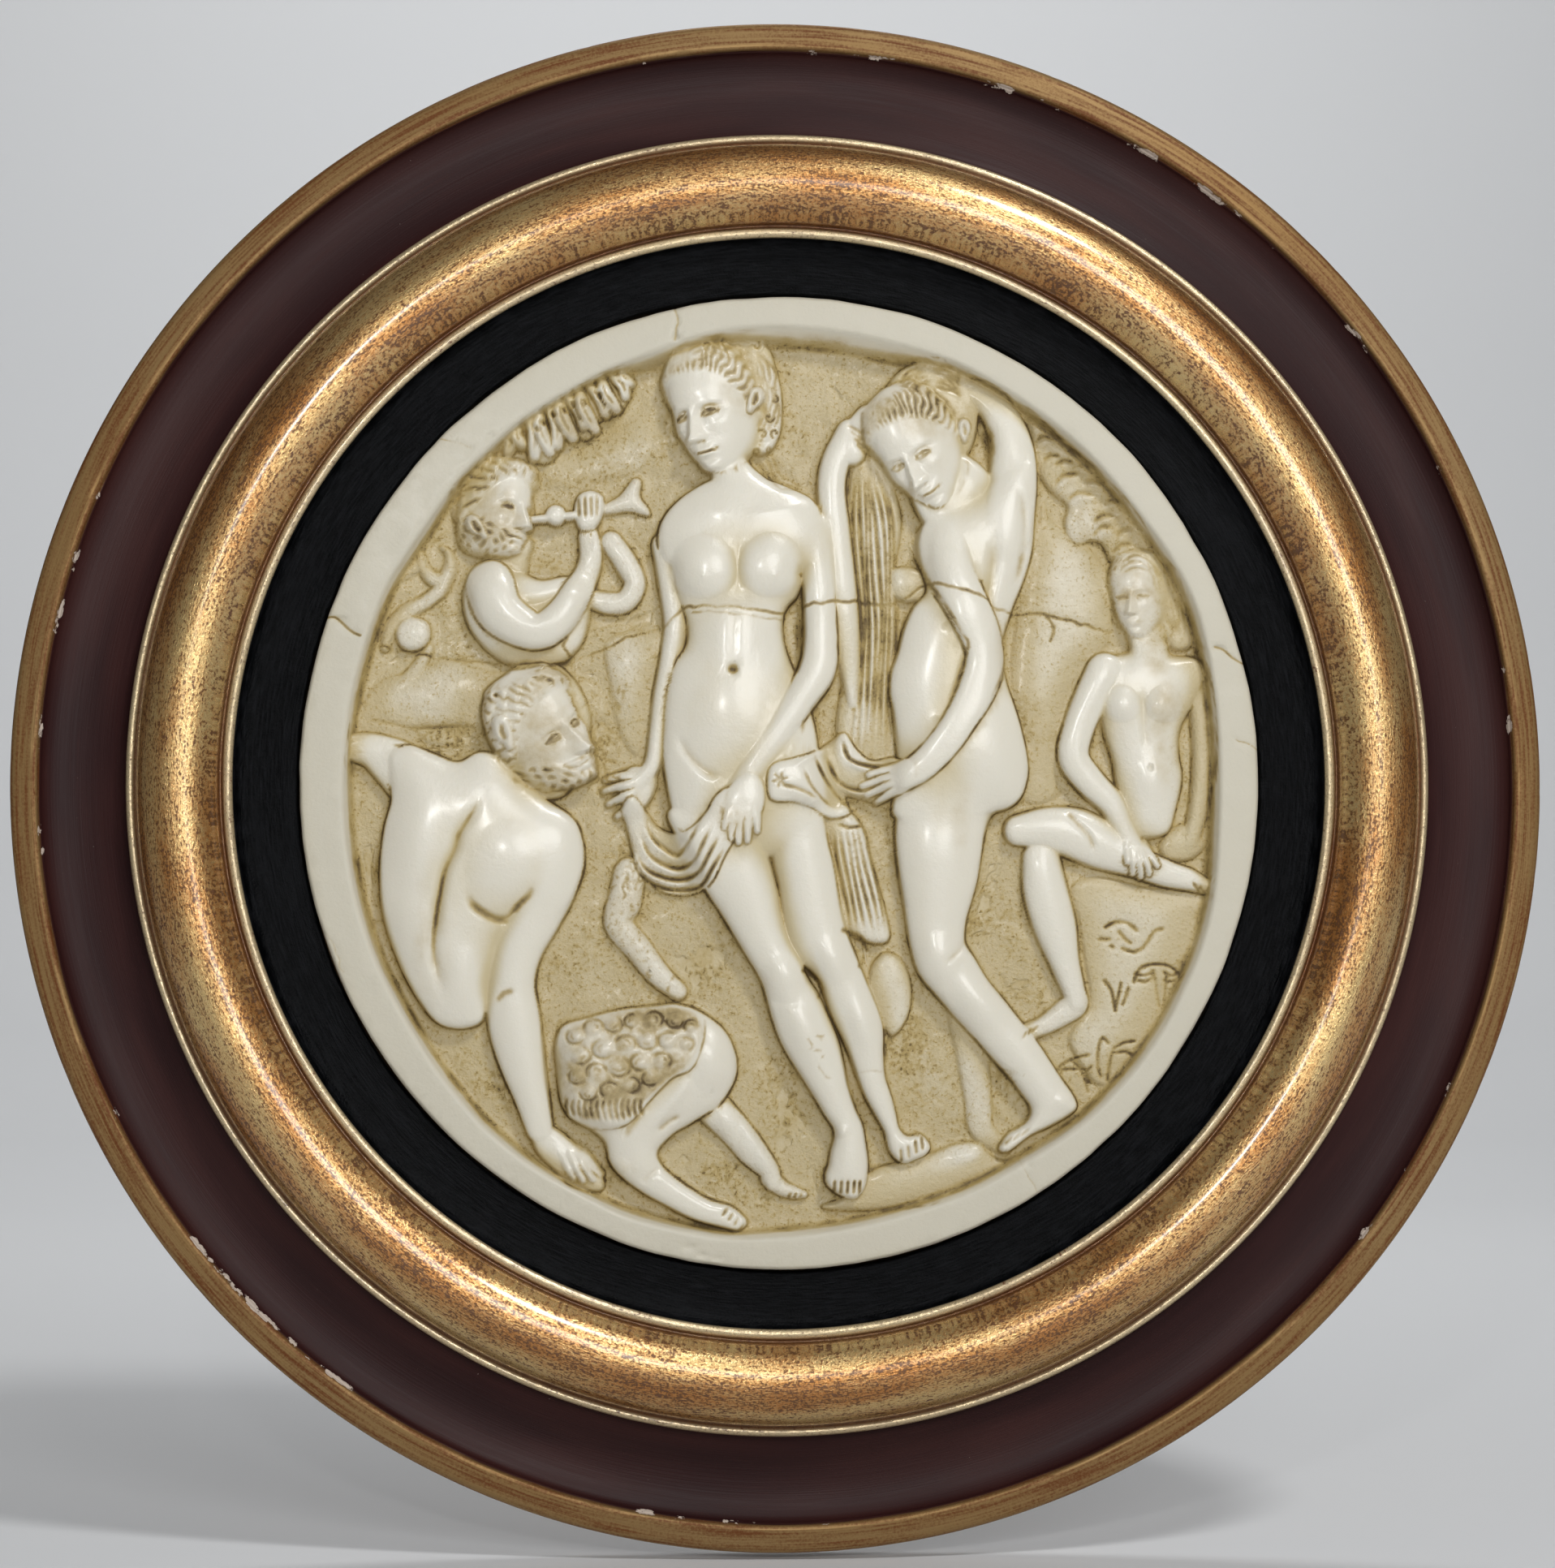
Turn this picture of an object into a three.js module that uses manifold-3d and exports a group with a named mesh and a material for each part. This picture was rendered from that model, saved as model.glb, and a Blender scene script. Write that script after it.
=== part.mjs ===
// A framed alabaster relief tondo that hangs on a wall: a round carved plaque of alabaster, glued back
// together from old breaks, set in an ebonised slip inside a gilded half-round moulding and a wide
// painted and gilded outer frame, with a wooden board, nails and a brass hanging plate behind.
// Millimetres. +Z is up, the front faces -Y, and the origin is on the back of the hanging plate.
import * as THREE from "three";
import { mergeVertices } from "three/addons/utils/BufferGeometryUtils.js";
import Module from "manifold-3d";

const wasm = await Module();
wasm.setup();

// Driving dimensions
const frameRadius = 240;
const hangerAboveCentre = 203;
const turningSides = 56;
const gap = 0.3;
const backPlane = 2; // the frame's flat back stands this far from the wall
const boardThickness = 5;
const plaqueBack = 7.3;
const plaqueThickness = 18; // back to the face of the plain rim
const plaqueHalfWidth = 150.2;
const plaqueHalfHeight = 152.8;
const rimWidth = 12.2;
const carvingDepth = 10; // from the rim's face down to the carved ground
const plaqueCells = 44; // cells across the carving's grid
const weld = 1e-4; // points closer than this are one point

const finish = (colour, roughness, metalness = 0) =>
  new THREE.MeshStandardMaterial({ color: colour, roughness, metalness });
const paintedWood = finish(0x3b2327, 0.5);
const gilding = finish(0xb08a4c, 0.4, 0.7);
const ebonised = finish(0x14161a, 0.5);
const alabaster = finish(0xd8cfb8, 0.3);
const bareWood = finish(0x9a7b55, 0.8);
const brass = finish(0xb49a58, 0.35, 0.9);
const steel = finish(0x6e6a66, 0.5, 0.8);

// Turned work about Y: the section lists [radius, height above the wall] points, so y = -height. It is
// listed from the back outwards and round the front, and a ring's section closes on its first point.
function turned(section, sides) {
  const points = section.map(([radius, height]) => new THREE.Vector2(radius, -height));
  return new THREE.LatheGeometry(points.reverse(), sides);
}

const ring = (section) => turned([...section, section[0]], turningSides);

// Points of an arc-like bulge between two section points, rising to the given crest height.
function bulge([radiusA, heightA], [radiusB, heightB], crest, steps) {
  return Array.from({ length: steps + 1 }, (_, i) => {
    const turn = (Math.PI * i) / steps;
    const share = (1 - Math.cos(turn)) / 2;
    const base = heightA + (heightB - heightA) * share;
    return [radiusA + (radiusB - radiusA) * share, base + (crest - base) * Math.sin(turn)];
  });
}

function solid(geometry) {
  const bare = geometry.index ? geometry.toNonIndexed() : geometry.clone();
  bare.deleteAttribute("normal");
  bare.deleteAttribute("uv");
  const merged = mergeVertices(bare, weld);
  return new wasm.Manifold(
    new wasm.Mesh({
      numProp: 3,
      vertProperties: merged.attributes.position.array,
      triVerts: new Uint32Array(merged.index.array),
    }),
  );
}

function geometryOf(manifold) {
  const made = manifold.getMesh();
  return new THREE.BufferGeometry()
    .setAttribute("position", new THREE.BufferAttribute(new Float32Array(made.vertProperties), 3))
    .setIndex(new THREE.BufferAttribute(new Uint32Array(made.triVerts), 1));
}

function cut(geometry, tools) {
  let body = solid(geometry);
  for (const tool of tools) body = body.subtract(solid(tool));
  return geometryOf(body);
}

// A round pin along Y between two heights above the wall, at a place in the frame's own plane.
function pin([x, z], radius, fromHeight, toHeight, sides) {
  const geometry = new THREE.CylinderGeometry(radius, radius, toHeight - fromHeight, sides);
  return geometry.translate(x, -(fromHeight + toHeight) / 2, z);
}

// Outer frame: a broad turned ring with a raised gilt edge and a shallow painted hollow. Its back
// outer corner is planed away, and a ledge inside carries the gilt moulding, the slip and the board.
const ledge = { inner: 160, top: 12, bottom: plaqueBack };
const seat = 204.2; // radius of the recess that takes the gilt moulding
const rabbet = 186.3; // radius of the recess that takes the back board
const backEdge = 218;
const planedTo = 14; // height where the planed back corner meets the outer side
const giltEdge = { side: 24.6, outer: [238.8, 25.8], inner: [231.6, 26.4] };
const hollow = { outer: [231, 24.6], inner: [seat, 22.2], floor: 19.6, steps: 4 };
const paintHollow = bulge(hollow.outer, hollow.inner, hollow.floor, hollow.steps);
const outerFrameSection = [
  [rabbet, backPlane],
  [backEdge, backPlane],
  [frameRadius, planedTo],
  [frameRadius, giltEdge.side],
  giltEdge.outer,
  giltEdge.inner,
  ...paintHollow,
  [seat, ledge.top],
  [ledge.inner, ledge.top],
  [ledge.inner, ledge.bottom],
  [rabbet, ledge.bottom],
];

// Gilt moulding: a half-round between two small beads, with a lip that laps over the slip.
const halfRound = { outer: [200.6, 26.6], inner: [174.7, 27.2], crest: 37.6, steps: 6 };
const bead = { side: 26.8, top: [202.2, 27.8] };
const lip = { top: [172.9, 29.2], edgeRadius: 170.7, edgeHeight: 28.6, underside: 27 };
const mouldingFoot = 176.2; // inner radius of the part of the moulding that stands on the ledge
const mouldingSection = [
  [seat - gap, ledge.top + gap],
  [seat - gap, bead.side],
  bead.top,
  ...bulge(halfRound.outer, halfRound.inner, halfRound.crest, halfRound.steps),
  lip.top,
  [lip.edgeRadius, lip.edgeHeight],
  [lip.edgeRadius, lip.underside],
  [mouldingFoot, lip.underside],
  [mouldingFoot, ledge.top + gap],
];

// Slip: an ebonised ring hollowed like a saucer, whose inner edge is cut oval to fit the plaque.
const slipInner = 149;
const jointWidth = 1.2; // open joint between the slip and the plaque
const slipOuter = mouldingFoot - gap;
const slipTop = lip.underside - gap;
const slipDish = [[170.4, slipTop], [169, 23.8], [163, 22], [slipInner, 21.4]];
const slipSection = [
  [slipInner, ledge.top + gap],
  [slipOuter, ledge.top + gap],
  [slipOuter, slipTop],
  ...slipDish,
];
const cutterLength = 40; // passes right through the slip

function plaqueOpening() {
  const oval = new THREE.CylinderGeometry(1, 1, cutterLength, turningSides).translate(0, -cutterLength / 2, 0);
  return oval.scale(plaqueHalfWidth + jointWidth, 1, plaqueHalfHeight + jointWidth);
}

// The carving is a height above the carved ground, in millimetres, over drawing units of one
// 945th of the frame's radius, measured from the drawing's own corner; the plaque's centre is at
// drawing point (959, 965). Each limb is a chain of stations [x, y, half width, height].
const drawingUnit = frameRadius / 945;
const drawingCentre = [959, 965];

const centreBather = [
  [[862, 485, 50, 9], [866, 520, 46, 12], [876, 550, 32, 11]],
  [[905, 440, 45, 7], [935, 480, 34, 7]],
  [[902, 565, 24, 8], [912, 610, 32, 8]],
  [[850, 645, 38, 8], [965, 645, 42, 8]],
  [[902, 650, 75, 10], [902, 710, 80, 11], [904, 790, 62, 11], [898, 880, 78, 12], [890, 960, 72, 11]],
  [[862, 706, 36, 13], [864, 712, 30, 13]],
  [[944, 706, 36, 13], [942, 712, 30, 13]],
  [[985, 660, 26, 10], [1003, 740, 22, 11], [1006, 815, 24, 13], [960, 900, 23, 14], [915, 985, 19, 14]],
  [[905, 1005, 24, 14], [908, 1030, 20, 13]],
  [[815, 670, 10, 5], [824, 760, 14, 5], [806, 860, 11, 5], [800, 940, 11, 6], [765, 985, 16, 7]],
  [[885, 1030, 55, 12], [918, 1110, 40, 12], [962, 1205, 29, 12], [984, 1260, 31, 11], [1024, 1360, 19, 10], [1041, 1405, 15, 10]],
  [[1041, 1415, 18, 9], [1040, 1460, 22, 7]],
  [[975, 1005, 36, 9], [995, 1100, 38, 10], [1025, 1200, 32, 10], [1060, 1290, 27, 9], [1100, 1400, 14, 7]],
  [[1105, 1412, 18, 7], [1128, 1425, 15, 5]],
];

const cloth = [
  [[775, 1015, 14, 9], [800, 1070, 20, 10], [845, 1088, 20, 11], [872, 1060, 20, 12], [888, 1005, 18, 13]],
  [[955, 960, 22, 9], [1010, 965, 30, 10], [1050, 990, 30, 10], [1085, 965, 20, 9]],
  [[1040, 1030, 24, 6], [1058, 1100, 28, 6], [1070, 1155, 25, 6]],
  [[1095, 1200, 22, 4], [1098, 1260, 15, 4]],
  [[1022, 560, 17, 6], [1030, 680, 18, 7], [1043, 800, 18, 7], [1040, 900, 18, 7]],
  [[1070, 620, 20, 5], [1078, 760, 22, 5], [1078, 920, 22, 5]],
];

const rightBather = [
  [[1115, 520, 46, 9], [1128, 555, 44, 12], [1145, 585, 32, 11]],
  [[1140, 475, 42, 7], [1200, 495, 36, 7]],
  [[1232, 520, 22, 7], [1250, 600, 30, 8]],
  [[1195, 640, 62, 10], [1210, 700, 56, 10], [1185, 790, 58, 9], [1180, 900, 80, 11], [1185, 950, 82, 12]],
  [[1122, 716, 22, 5], [1124, 722, 20, 5]],
  [[1165, 670, 36, 12], [1200, 760, 27, 13], [1216, 805, 24, 14], [1195, 880, 25, 14], [1140, 950, 17, 13], [1090, 972, 15, 12]],
  [[1158, 1010, 54, 12], [1156, 1100, 44, 12], [1160, 1185, 34, 11], [1222, 1268, 29, 12], [1305, 1372, 22, 11]],
  [[1300, 1378, 22, 9], [1252, 1415, 16, 5]],
  [[1190, 1270, 22, 3], [1205, 1385, 22, 3]],
];

const seatedBather = [
  [[1404, 720, 34, 6], [1406, 750, 32, 7], [1402, 770, 20, 6]],
  [[1440, 720, 28, 4], [1458, 780, 24, 4]],
  [[1412, 795, 16, 5], [1412, 825, 30, 6]],
  [[1360, 840, 24, 7], [1468, 840, 22, 6]],
  [[1410, 860, 52, 7], [1412, 910, 42, 8], [1425, 975, 36, 9], [1425, 1020, 34, 8]],
  [[1345, 840, 22, 8], [1326, 900, 21, 9], [1328, 945, 20, 10], [1375, 1005, 15, 10], [1400, 1055, 20, 9]],
  [[1482, 840, 14, 4], [1480, 1020, 12, 4]],
  [[1252, 1022, 23, 9], [1325, 1030, 32, 9], [1368, 1048, 32, 8], [1440, 1082, 16, 7], [1482, 1090, 12, 6]],
  [[1283, 1068, 25, 8], [1292, 1115, 30, 8], [1312, 1190, 22, 7], [1322, 1235, 20, 6], [1275, 1272, 13, 4]],
];

const oldMan = [
  [[655, 870, 56, 9], [660, 920, 50, 10], [680, 950, 30, 8]],
  [[612, 950, 32, 8], [600, 985, 60, 9]],
  [[432, 924, 20, 6], [490, 950, 34, 8]],
  [[520, 990, 50, 9], [660, 1040, 50, 11]],
  [[585, 1010, 90, 9], [570, 1080, 104, 10], [545, 1150, 70, 9], [560, 1215, 48, 7], [568, 1240, 30, 5]],
  [[672, 1065, 42, 12], [640, 1170, 33, 11], [622, 1220, 27, 11], [640, 1310, 28, 10], [664, 1395, 18, 8]],
  [[680, 1415, 18, 7], [725, 1445, 22, 5]],
];

const satyrs = [
  [[590, 610, 40, 6], [625, 635, 40, 7], [630, 665, 26, 6]],
  [[605, 700, 34, 5], [640, 740, 40, 5], [640, 800, 26, 4]],
  [[600, 735, 36, 8], [668, 772, 29, 8], [705, 735, 24, 8], [725, 690, 17, 8], [720, 635, 15, 7]],
  [[745, 675, 12, 4], [765, 730, 20, 5], [730, 742, 12, 4]],
  [[680, 638, 16, 5], [690, 640, 14, 5]],
  [[745, 625, 8, 4], [780, 598, 16, 4]],
  [[725, 1000, 26, 5], [745, 1060, 28, 5], [758, 1115, 22, 4], [800, 1185, 18, 4], [840, 1225, 14, 3]],
  [[720, 1325, 46, 6], [790, 1300, 50, 8], [860, 1300, 44, 9], [862, 1340, 36, 9], [800, 1400, 30, 8], [775, 1428, 26, 7]],
  [[775, 1435, 22, 7], [850, 1482, 18, 5], [905, 1510, 12, 4]],
  [[890, 1375, 16, 5], [940, 1420, 20, 6], [972, 1462, 13, 4]],
];

const landscape = [
  [[502, 782, 20, 4], [503, 784, 18, 4]],
  [[650, 545, 26, 3], [700, 515, 28, 3], [745, 490, 28, 3]],
  [[1310, 590, 26, 3], [1350, 640, 30, 3], [1400, 680, 30, 3]],
  [[1090, 1470, 30, 5], [1180, 1450, 30, 6], [1215, 1445, 20, 5]],
  [[1400, 1130, 60, 4], [1440, 1180, 70, 4], [1380, 1270, 70, 3]],
  [[430, 880, 14, 2], [570, 880, 16, 2]],
];

const patchStep = 7; // drawing units
const limbs = [centreBather, cloth, rightBather, seatedBather, oldMan, satyrs, landscape].flat();

// Height of a limb over a drawing point: an ellipse across its axis, swept from station to station.
function limbHeight(stations, x, y) {
  let height = 0;
  for (let i = 0; i + 1 < stations.length; i++) {
    const [ax, ay, widthA, topA] = stations[i];
    const [bx, by, widthB, topB] = stations[i + 1];
    const along = ((x - ax) * (bx - ax) + (y - ay) * (by - ay)) / ((bx - ax) ** 2 + (by - ay) ** 2);
    const share = Math.min(1, Math.max(0, along));
    const away = Math.hypot(x - ax - share * (bx - ax), y - ay - share * (by - ay));
    const across = away / (widthA + share * (widthB - widthA));
    if (across < 1) height = Math.max(height, (topA + share * (topB - topA)) * Math.sqrt(1 - across ** 2));
  }
  return height;
}

// Height of the figures above the carved ground: the tallest limb, evened out over a small patch.
function figureHeight(x, z) {
  const patch = [-1, 0, 1];
  const centreX = drawingCentre[0] + x / drawingUnit;
  const centreY = drawingCentre[1] - z / drawingUnit;
  let total = 0;
  for (const right of patch) {
    for (const down of patch) {
      const px = centreX + right * patchStep;
      const py = centreY + down * patchStep;
      total += Math.max(...limbs.map((stations) => limbHeight(stations, px, py)));
    }
  }
  return total / patch.length ** 2;
}

// Plaque: a square grid bent to an oval. Its rings of cells crowd inwards so that the last two make
// the slope and the plain rim, and a straight edge runs down to a flat back.
function carvedPlaque(cells) {
  const positions = [];
  const triangles = [];
  const side = cells + 1;
  const rings = cells / 2;
  const rimShare = 1 - rimWidth / plaqueHalfWidth;
  const slopeShare = 0.03;
  const ground = plaqueThickness - carvingDepth;
  for (let j = 0; j < side; j++) {
    for (let i = 0; i < side; i++) {
      const a = i - rings;
      const b = j - rings;
      const ringIndex = Math.max(Math.abs(a), Math.abs(b));
      const eighth = Math.PI / 4;
      let angle = Math.abs(a) > Math.abs(b) ? eighth * (b / a) : 2 * eighth - eighth * (a / (b || 1));
      if (Math.abs(a) > Math.abs(b) ? a < 0 : b < 0) angle += Math.PI;
      let radius = (ringIndex / (rings - 2)) * (rimShare - slopeShare);
      if (ringIndex === rings - 1) radius = rimShare;
      if (ringIndex === rings) radius = 1;
      const x = radius * Math.cos(angle) * plaqueHalfWidth;
      const z = radius * Math.sin(angle) * plaqueHalfHeight;
      const height = ringIndex > rings - 2 ? carvingDepth : figureHeight(x, z);
      positions.push(x, -(plaqueBack + ground + height), z);
    }
  }
  for (let j = 0; j < cells; j++) {
    for (let i = 0; i < cells; i++) {
      const a = j * side + i;
      triangles.push(a, a + 1, a + side, a + 1, a + side + 1, a + side);
    }
  }
  const edge = [];
  for (let i = 0; i < cells; i++) edge.push(i);
  for (let j = 0; j < cells; j++) edge.push(j * side + cells);
  for (let i = cells; i > 0; i--) edge.push(cells * side + i);
  for (let j = cells; j > 0; j--) edge.push(j * side);
  const backStart = side * side;
  for (const index of edge) positions.push(positions[3 * index], -plaqueBack, positions[3 * index + 2]);
  const hub = backStart + edge.length;
  positions.push(0, -plaqueBack, 0);
  edge.forEach((front, k) => {
    const next = (k + 1) % edge.length;
    triangles.push(front, backStart + k, backStart + next, front, backStart + next, edge[next]);
    triangles.push(hub, backStart + next, backStart + k);
  });
  return new THREE.BufferGeometry()
    .setAttribute("position", new THREE.BufferAttribute(new Float32Array(positions), 3))
    .setIndex(triangles);
}

// Hanging plate: a brass strap with a round eye that stands clear of the planed-away back corner.
const strap = { halfWidth: 9, bottom: 187.5, shoulder: 219, chamfer: 4, thickness: backPlane - gap };
const eye = { height: 228, radius: 7.5, hole: 4.2, sides: 10 };
const screwHeights = [195, 211];
const screw = { headRadius: 3.2, shankRadius: 1.5, headTop: 0.1, headRim: 0.2, coneFoot: 1.7, tip: 10, point: 2 };
const screwSides = 10;

function hangingPlate() {
  const outline = new THREE.Shape();
  outline.moveTo(-strap.halfWidth, strap.bottom);
  outline.lineTo(strap.halfWidth, strap.bottom);
  outline.lineTo(strap.halfWidth, strap.shoulder - strap.chamfer);
  outline.lineTo(eye.radius, strap.shoulder);
  outline.lineTo(eye.radius, eye.height);
  outline.absarc(0, eye.height, eye.radius, 0, Math.PI, false);
  outline.lineTo(-eye.radius, strap.shoulder);
  outline.lineTo(-strap.halfWidth, strap.shoulder - strap.chamfer);
  outline.closePath();
  const hole = new THREE.Path();
  hole.absarc(0, eye.height, eye.hole, 0, 2 * Math.PI, true);
  outline.holes.push(hole);
  const plate = new THREE.ExtrudeGeometry(outline, { depth: strap.thickness, bevelEnabled: false, curveSegments: eye.sides });
  plate.rotateX(Math.PI / 2); // the outline's up becomes +Z, and the extrusion runs towards -Y
  const holes = screwHeights.map((z) => screwBody(z, gap));
  return cut(plate, holes);
}

// A countersunk screw, or with grow above zero the hole that clears it all round.
function screwBody(z, grow) {
  const profile = [
    [0, screw.headTop - grow],
    [screw.headRadius + grow, screw.headTop - grow],
    [screw.headRadius + grow, screw.headTop + screw.headRim],
    [screw.shankRadius + grow, screw.coneFoot],
    [screw.shankRadius + grow, screw.tip - screw.point],
    [0, screw.tip + grow],
  ];
  return turned(profile, screwSides).translate(0, 0, z);
}

// Board nails: six flat-headed nails that hold the back board against the ledge.
const nail = { circle: 172, count: 6, headRadius: 2.4, headTop: 0.9, headFoot: 1.7, shankRadius: 0.9, tip: 11.2 };
const nailSides = 8;
const nailPlaces = Array.from({ length: nail.count }, (_, i) => {
  const angle = ((i + 0.5) / nail.count) * 2 * Math.PI;
  return [nail.circle * Math.cos(angle), nail.circle * Math.sin(angle)];
});

function nailGeometry(place) {
  const head = solid(pin(place, nail.headRadius, nail.headTop, nail.headFoot, nailSides));
  const shank = solid(pin(place, nail.shankRadius, nail.headTop + gap, nail.tip, nailSides));
  return geometryOf(head.add(shank));
}

const screwHoles = screwHeights.map((z) => screwBody(z, gap));
const nailHoles = nailPlaces.map((place) =>
  pin(place, nail.shankRadius + gap, nail.headTop, nail.tip + gap, nailSides),
);

const boardEase = 0.4; // free space round the board in its rabbet
const boardRadius = rabbet - boardEase;
const board = new THREE.CylinderGeometry(boardRadius, boardRadius, boardThickness, turningSides);
board.translate(0, -(backPlane + boardThickness / 2), 0);

const tondo = new THREE.Group();
tondo.position.z = -hangerAboveCentre;

function add(name, geometry, material) {
  const mesh = new THREE.Mesh(geometry, material);
  mesh.name = name;
  tondo.add(mesh);
}

add("alabaster_relief", carvedPlaque(plaqueCells), alabaster);
add("outer_frame", cut(ring(outerFrameSection), [...screwHoles, ...nailHoles]), paintedWood);
add("gilt_moulding", ring(mouldingSection), gilding);
add("ebonised_slip", cut(ring(slipSection), [plaqueOpening()]), ebonised);
add("back_board", cut(board, nailHoles), bareWood);
add("hanging_plate", hangingPlate(), brass);
screwHeights.forEach((z, i) => add(`plate_screw_${i + 1}`, screwBody(z, 0), brass));
nailPlaces.forEach((place, i) => add(`board_nail_${i + 1}`, nailGeometry(place), steel));

export default tondo;
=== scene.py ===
"""A framed alabaster relief tondo, made to hang on a wall.

Metres, +Z up, the carved front faces -Y, and the origin is on the back of the hanging plate.
"""

import bpy
import numpy as np
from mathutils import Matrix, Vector


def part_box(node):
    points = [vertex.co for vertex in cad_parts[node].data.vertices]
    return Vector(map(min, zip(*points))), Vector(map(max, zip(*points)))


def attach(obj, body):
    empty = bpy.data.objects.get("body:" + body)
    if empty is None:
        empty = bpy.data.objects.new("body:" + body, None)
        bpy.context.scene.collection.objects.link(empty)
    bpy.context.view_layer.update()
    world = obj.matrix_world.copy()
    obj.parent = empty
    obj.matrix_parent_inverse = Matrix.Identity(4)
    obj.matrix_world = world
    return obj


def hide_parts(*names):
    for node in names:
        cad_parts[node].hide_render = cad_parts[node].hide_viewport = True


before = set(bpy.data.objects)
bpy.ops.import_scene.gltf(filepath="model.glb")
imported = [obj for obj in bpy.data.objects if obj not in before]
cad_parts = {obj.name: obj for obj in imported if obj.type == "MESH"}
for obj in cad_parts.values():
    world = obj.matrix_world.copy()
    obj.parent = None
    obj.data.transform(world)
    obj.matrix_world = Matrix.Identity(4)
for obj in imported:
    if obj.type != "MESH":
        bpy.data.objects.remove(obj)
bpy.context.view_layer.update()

# Outer frame: one broad ring of turned wood, gilt over red bole on its raised outer edge and painted
# dark red in the wide hollow inside it. The frame was turned on a lathe, planed off behind the
# edge, and rabbeted at the back for the board.
frame_low, frame_high = (np.array(corner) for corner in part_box("outer_frame"))
CENTRE_Z = (frame_low[2] + frame_high[2]) / 2
FRAME_RADIUS = (frame_high[0] - frame_low[0]) / 2
MM = 0.001
TURNED_SIDES = 900


def add_piece(name, points, faces, materials):
    """A mesh object from arrays: points as rows of x, y, z, and faces as rows of 3 or 4 point numbers."""
    mesh = bpy.data.meshes.new(name)
    corners = faces.shape[1]
    mesh.vertices.add(len(points))
    mesh.vertices.foreach_set("co", np.ascontiguousarray(points, np.float32).ravel())
    mesh.loops.add(faces.size)
    mesh.loops.foreach_set("vertex_index", np.ascontiguousarray(faces, np.int32).ravel())
    mesh.polygons.add(len(faces))
    mesh.polygons.foreach_set("loop_start", np.arange(len(faces), dtype=np.int32) * corners)
    mesh.polygons.foreach_set("use_smooth", np.ones(len(faces), bool))
    mesh.update(calc_edges=True)
    mesh.validate()
    for material in materials:
        mesh.materials.append(material)
    piece = bpy.data.objects.new(name, mesh)
    bpy.context.collection.objects.link(piece)
    return piece


def ring_points(angle, radius, out):
    """Points in metres at an angle round the tondo's centre, a radius and a height above the wall in mm."""
    return np.stack([radius * np.cos(angle) * MM, -out * MM,
                     radius * np.sin(angle) * MM + CENTRE_Z], -1).reshape(-1, 3)


def ring_faces(sides, count):
    """The faces between the copies of a closed section of count points, carried round in so many sides."""
    i = np.arange(sides)[:, None]
    j = np.arange(count)[None, :]
    here, there = i * count, (i + 1) % sides * count
    faces = np.stack([here + j, here + (j + 1) % count, there + (j + 1) % count, there + j], -1)
    return faces.reshape(-1, 4)


def turn_section(section, sides, front_change):
    """Carry a closed section of (radius, height above the wall), in mm, round the tondo's centre.

    front_change gives small departures from true turning, in mm of height, as a function of the
    angle and the section's own radius and height.
    """
    angle = np.linspace(0, 2 * np.pi, sides, endpoint=False)[:, None]
    radius, out = (np.tile(column, (sides, 1)) for column in np.asarray(section, float).T)
    points = ring_points(angle, radius, out + front_change(angle, radius, out))
    return points, ring_faces(sides, len(section))


def eased(points, step=0.5):
    """A section's corners joined by straight runs of points about step mm apart."""
    points = np.asarray(points, float)
    ends = np.roll(points, -1, axis=0)
    runs = [a + (b - a) * (np.arange(n := max(1, int(np.hypot(*(b - a)) / step))) / n)[:, None]
            for a, b in zip(points, ends)]
    return np.vstack(runs)


def arc(start, end, crest, count):
    """A hump or hollow between two section points: half a turn of a cosine along and a sine across."""
    turn = np.linspace(0, np.pi, count)[:, None]
    start, end = np.array(start, float), np.array(end, float)
    share = (1 - np.cos(turn)) / 2
    along = start + (end - start) * share
    return along + (np.array([0, 1]) * (crest - along[:, 1:])) * np.sin(turn)


def wander(angle, seed, waves=9, amount=1.0):
    """A wavering amount round the ring: sines of 2 to waves + 1 turns with random sizes and starts."""
    rng = np.random.default_rng(seed)
    total = 0
    for k in range(2, waves + 2):
        total = total + rng.normal() * np.sin(k * angle + rng.uniform(0, 2 * np.pi)) / k**0.6
    return amount * total


def plug(tree, kind, *inputs, out=0, **settings):
    """Add a shader node, set its properties, feed its inputs in order, and return one of its outputs."""
    node = tree.nodes.new("ShaderNode" + kind)
    for name, value in settings.items():
        setattr(node, name, value)
    for socket, value in zip(node.inputs, inputs):
        if isinstance(value, bpy.types.NodeSocket):
            tree.links.new(value, socket)
        elif value is not None:
            socket.default_value = value
    return node.outputs[out]


def math_node(tree, operation, *inputs):
    """One sum, product or other operation on numbers or sockets."""
    return plug(tree, "Math", *inputs, operation=operation)


def times(tree, *inputs):
    """The product of two numbers or sockets."""
    return math_node(tree, "MULTIPLY", *inputs)


def plus(tree, *inputs):
    """The sum of two numbers or sockets."""
    return math_node(tree, "ADD", *inputs)


def scaled(tree, value, by, more):
    """A value times by, plus more."""
    return math_node(tree, "MULTIPLY_ADD", value, by, more)


def rest(tree, share):
    """What a share leaves of one."""
    return math_node(tree, "SUBTRACT", 1.0, share)


def apart(tree, value, middle):
    """How far a value is from the middle one, either way."""
    return math_node(tree, "ABSOLUTE", math_node(tree, "SUBTRACT", value, middle))


def object_place(tree):
    """The point's place in the object's own coordinates, in metres."""
    return plug(tree, "TexCoord", out=3)


def vary(tree, vector, scale, detail=4.0, roughness=0.55, distortion=0.0):
    """Fractal noise over a vector, from 0 to 1."""
    return plug(tree, "TexNoise", vector, None, scale, detail, roughness, None, None, distortion)


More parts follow.
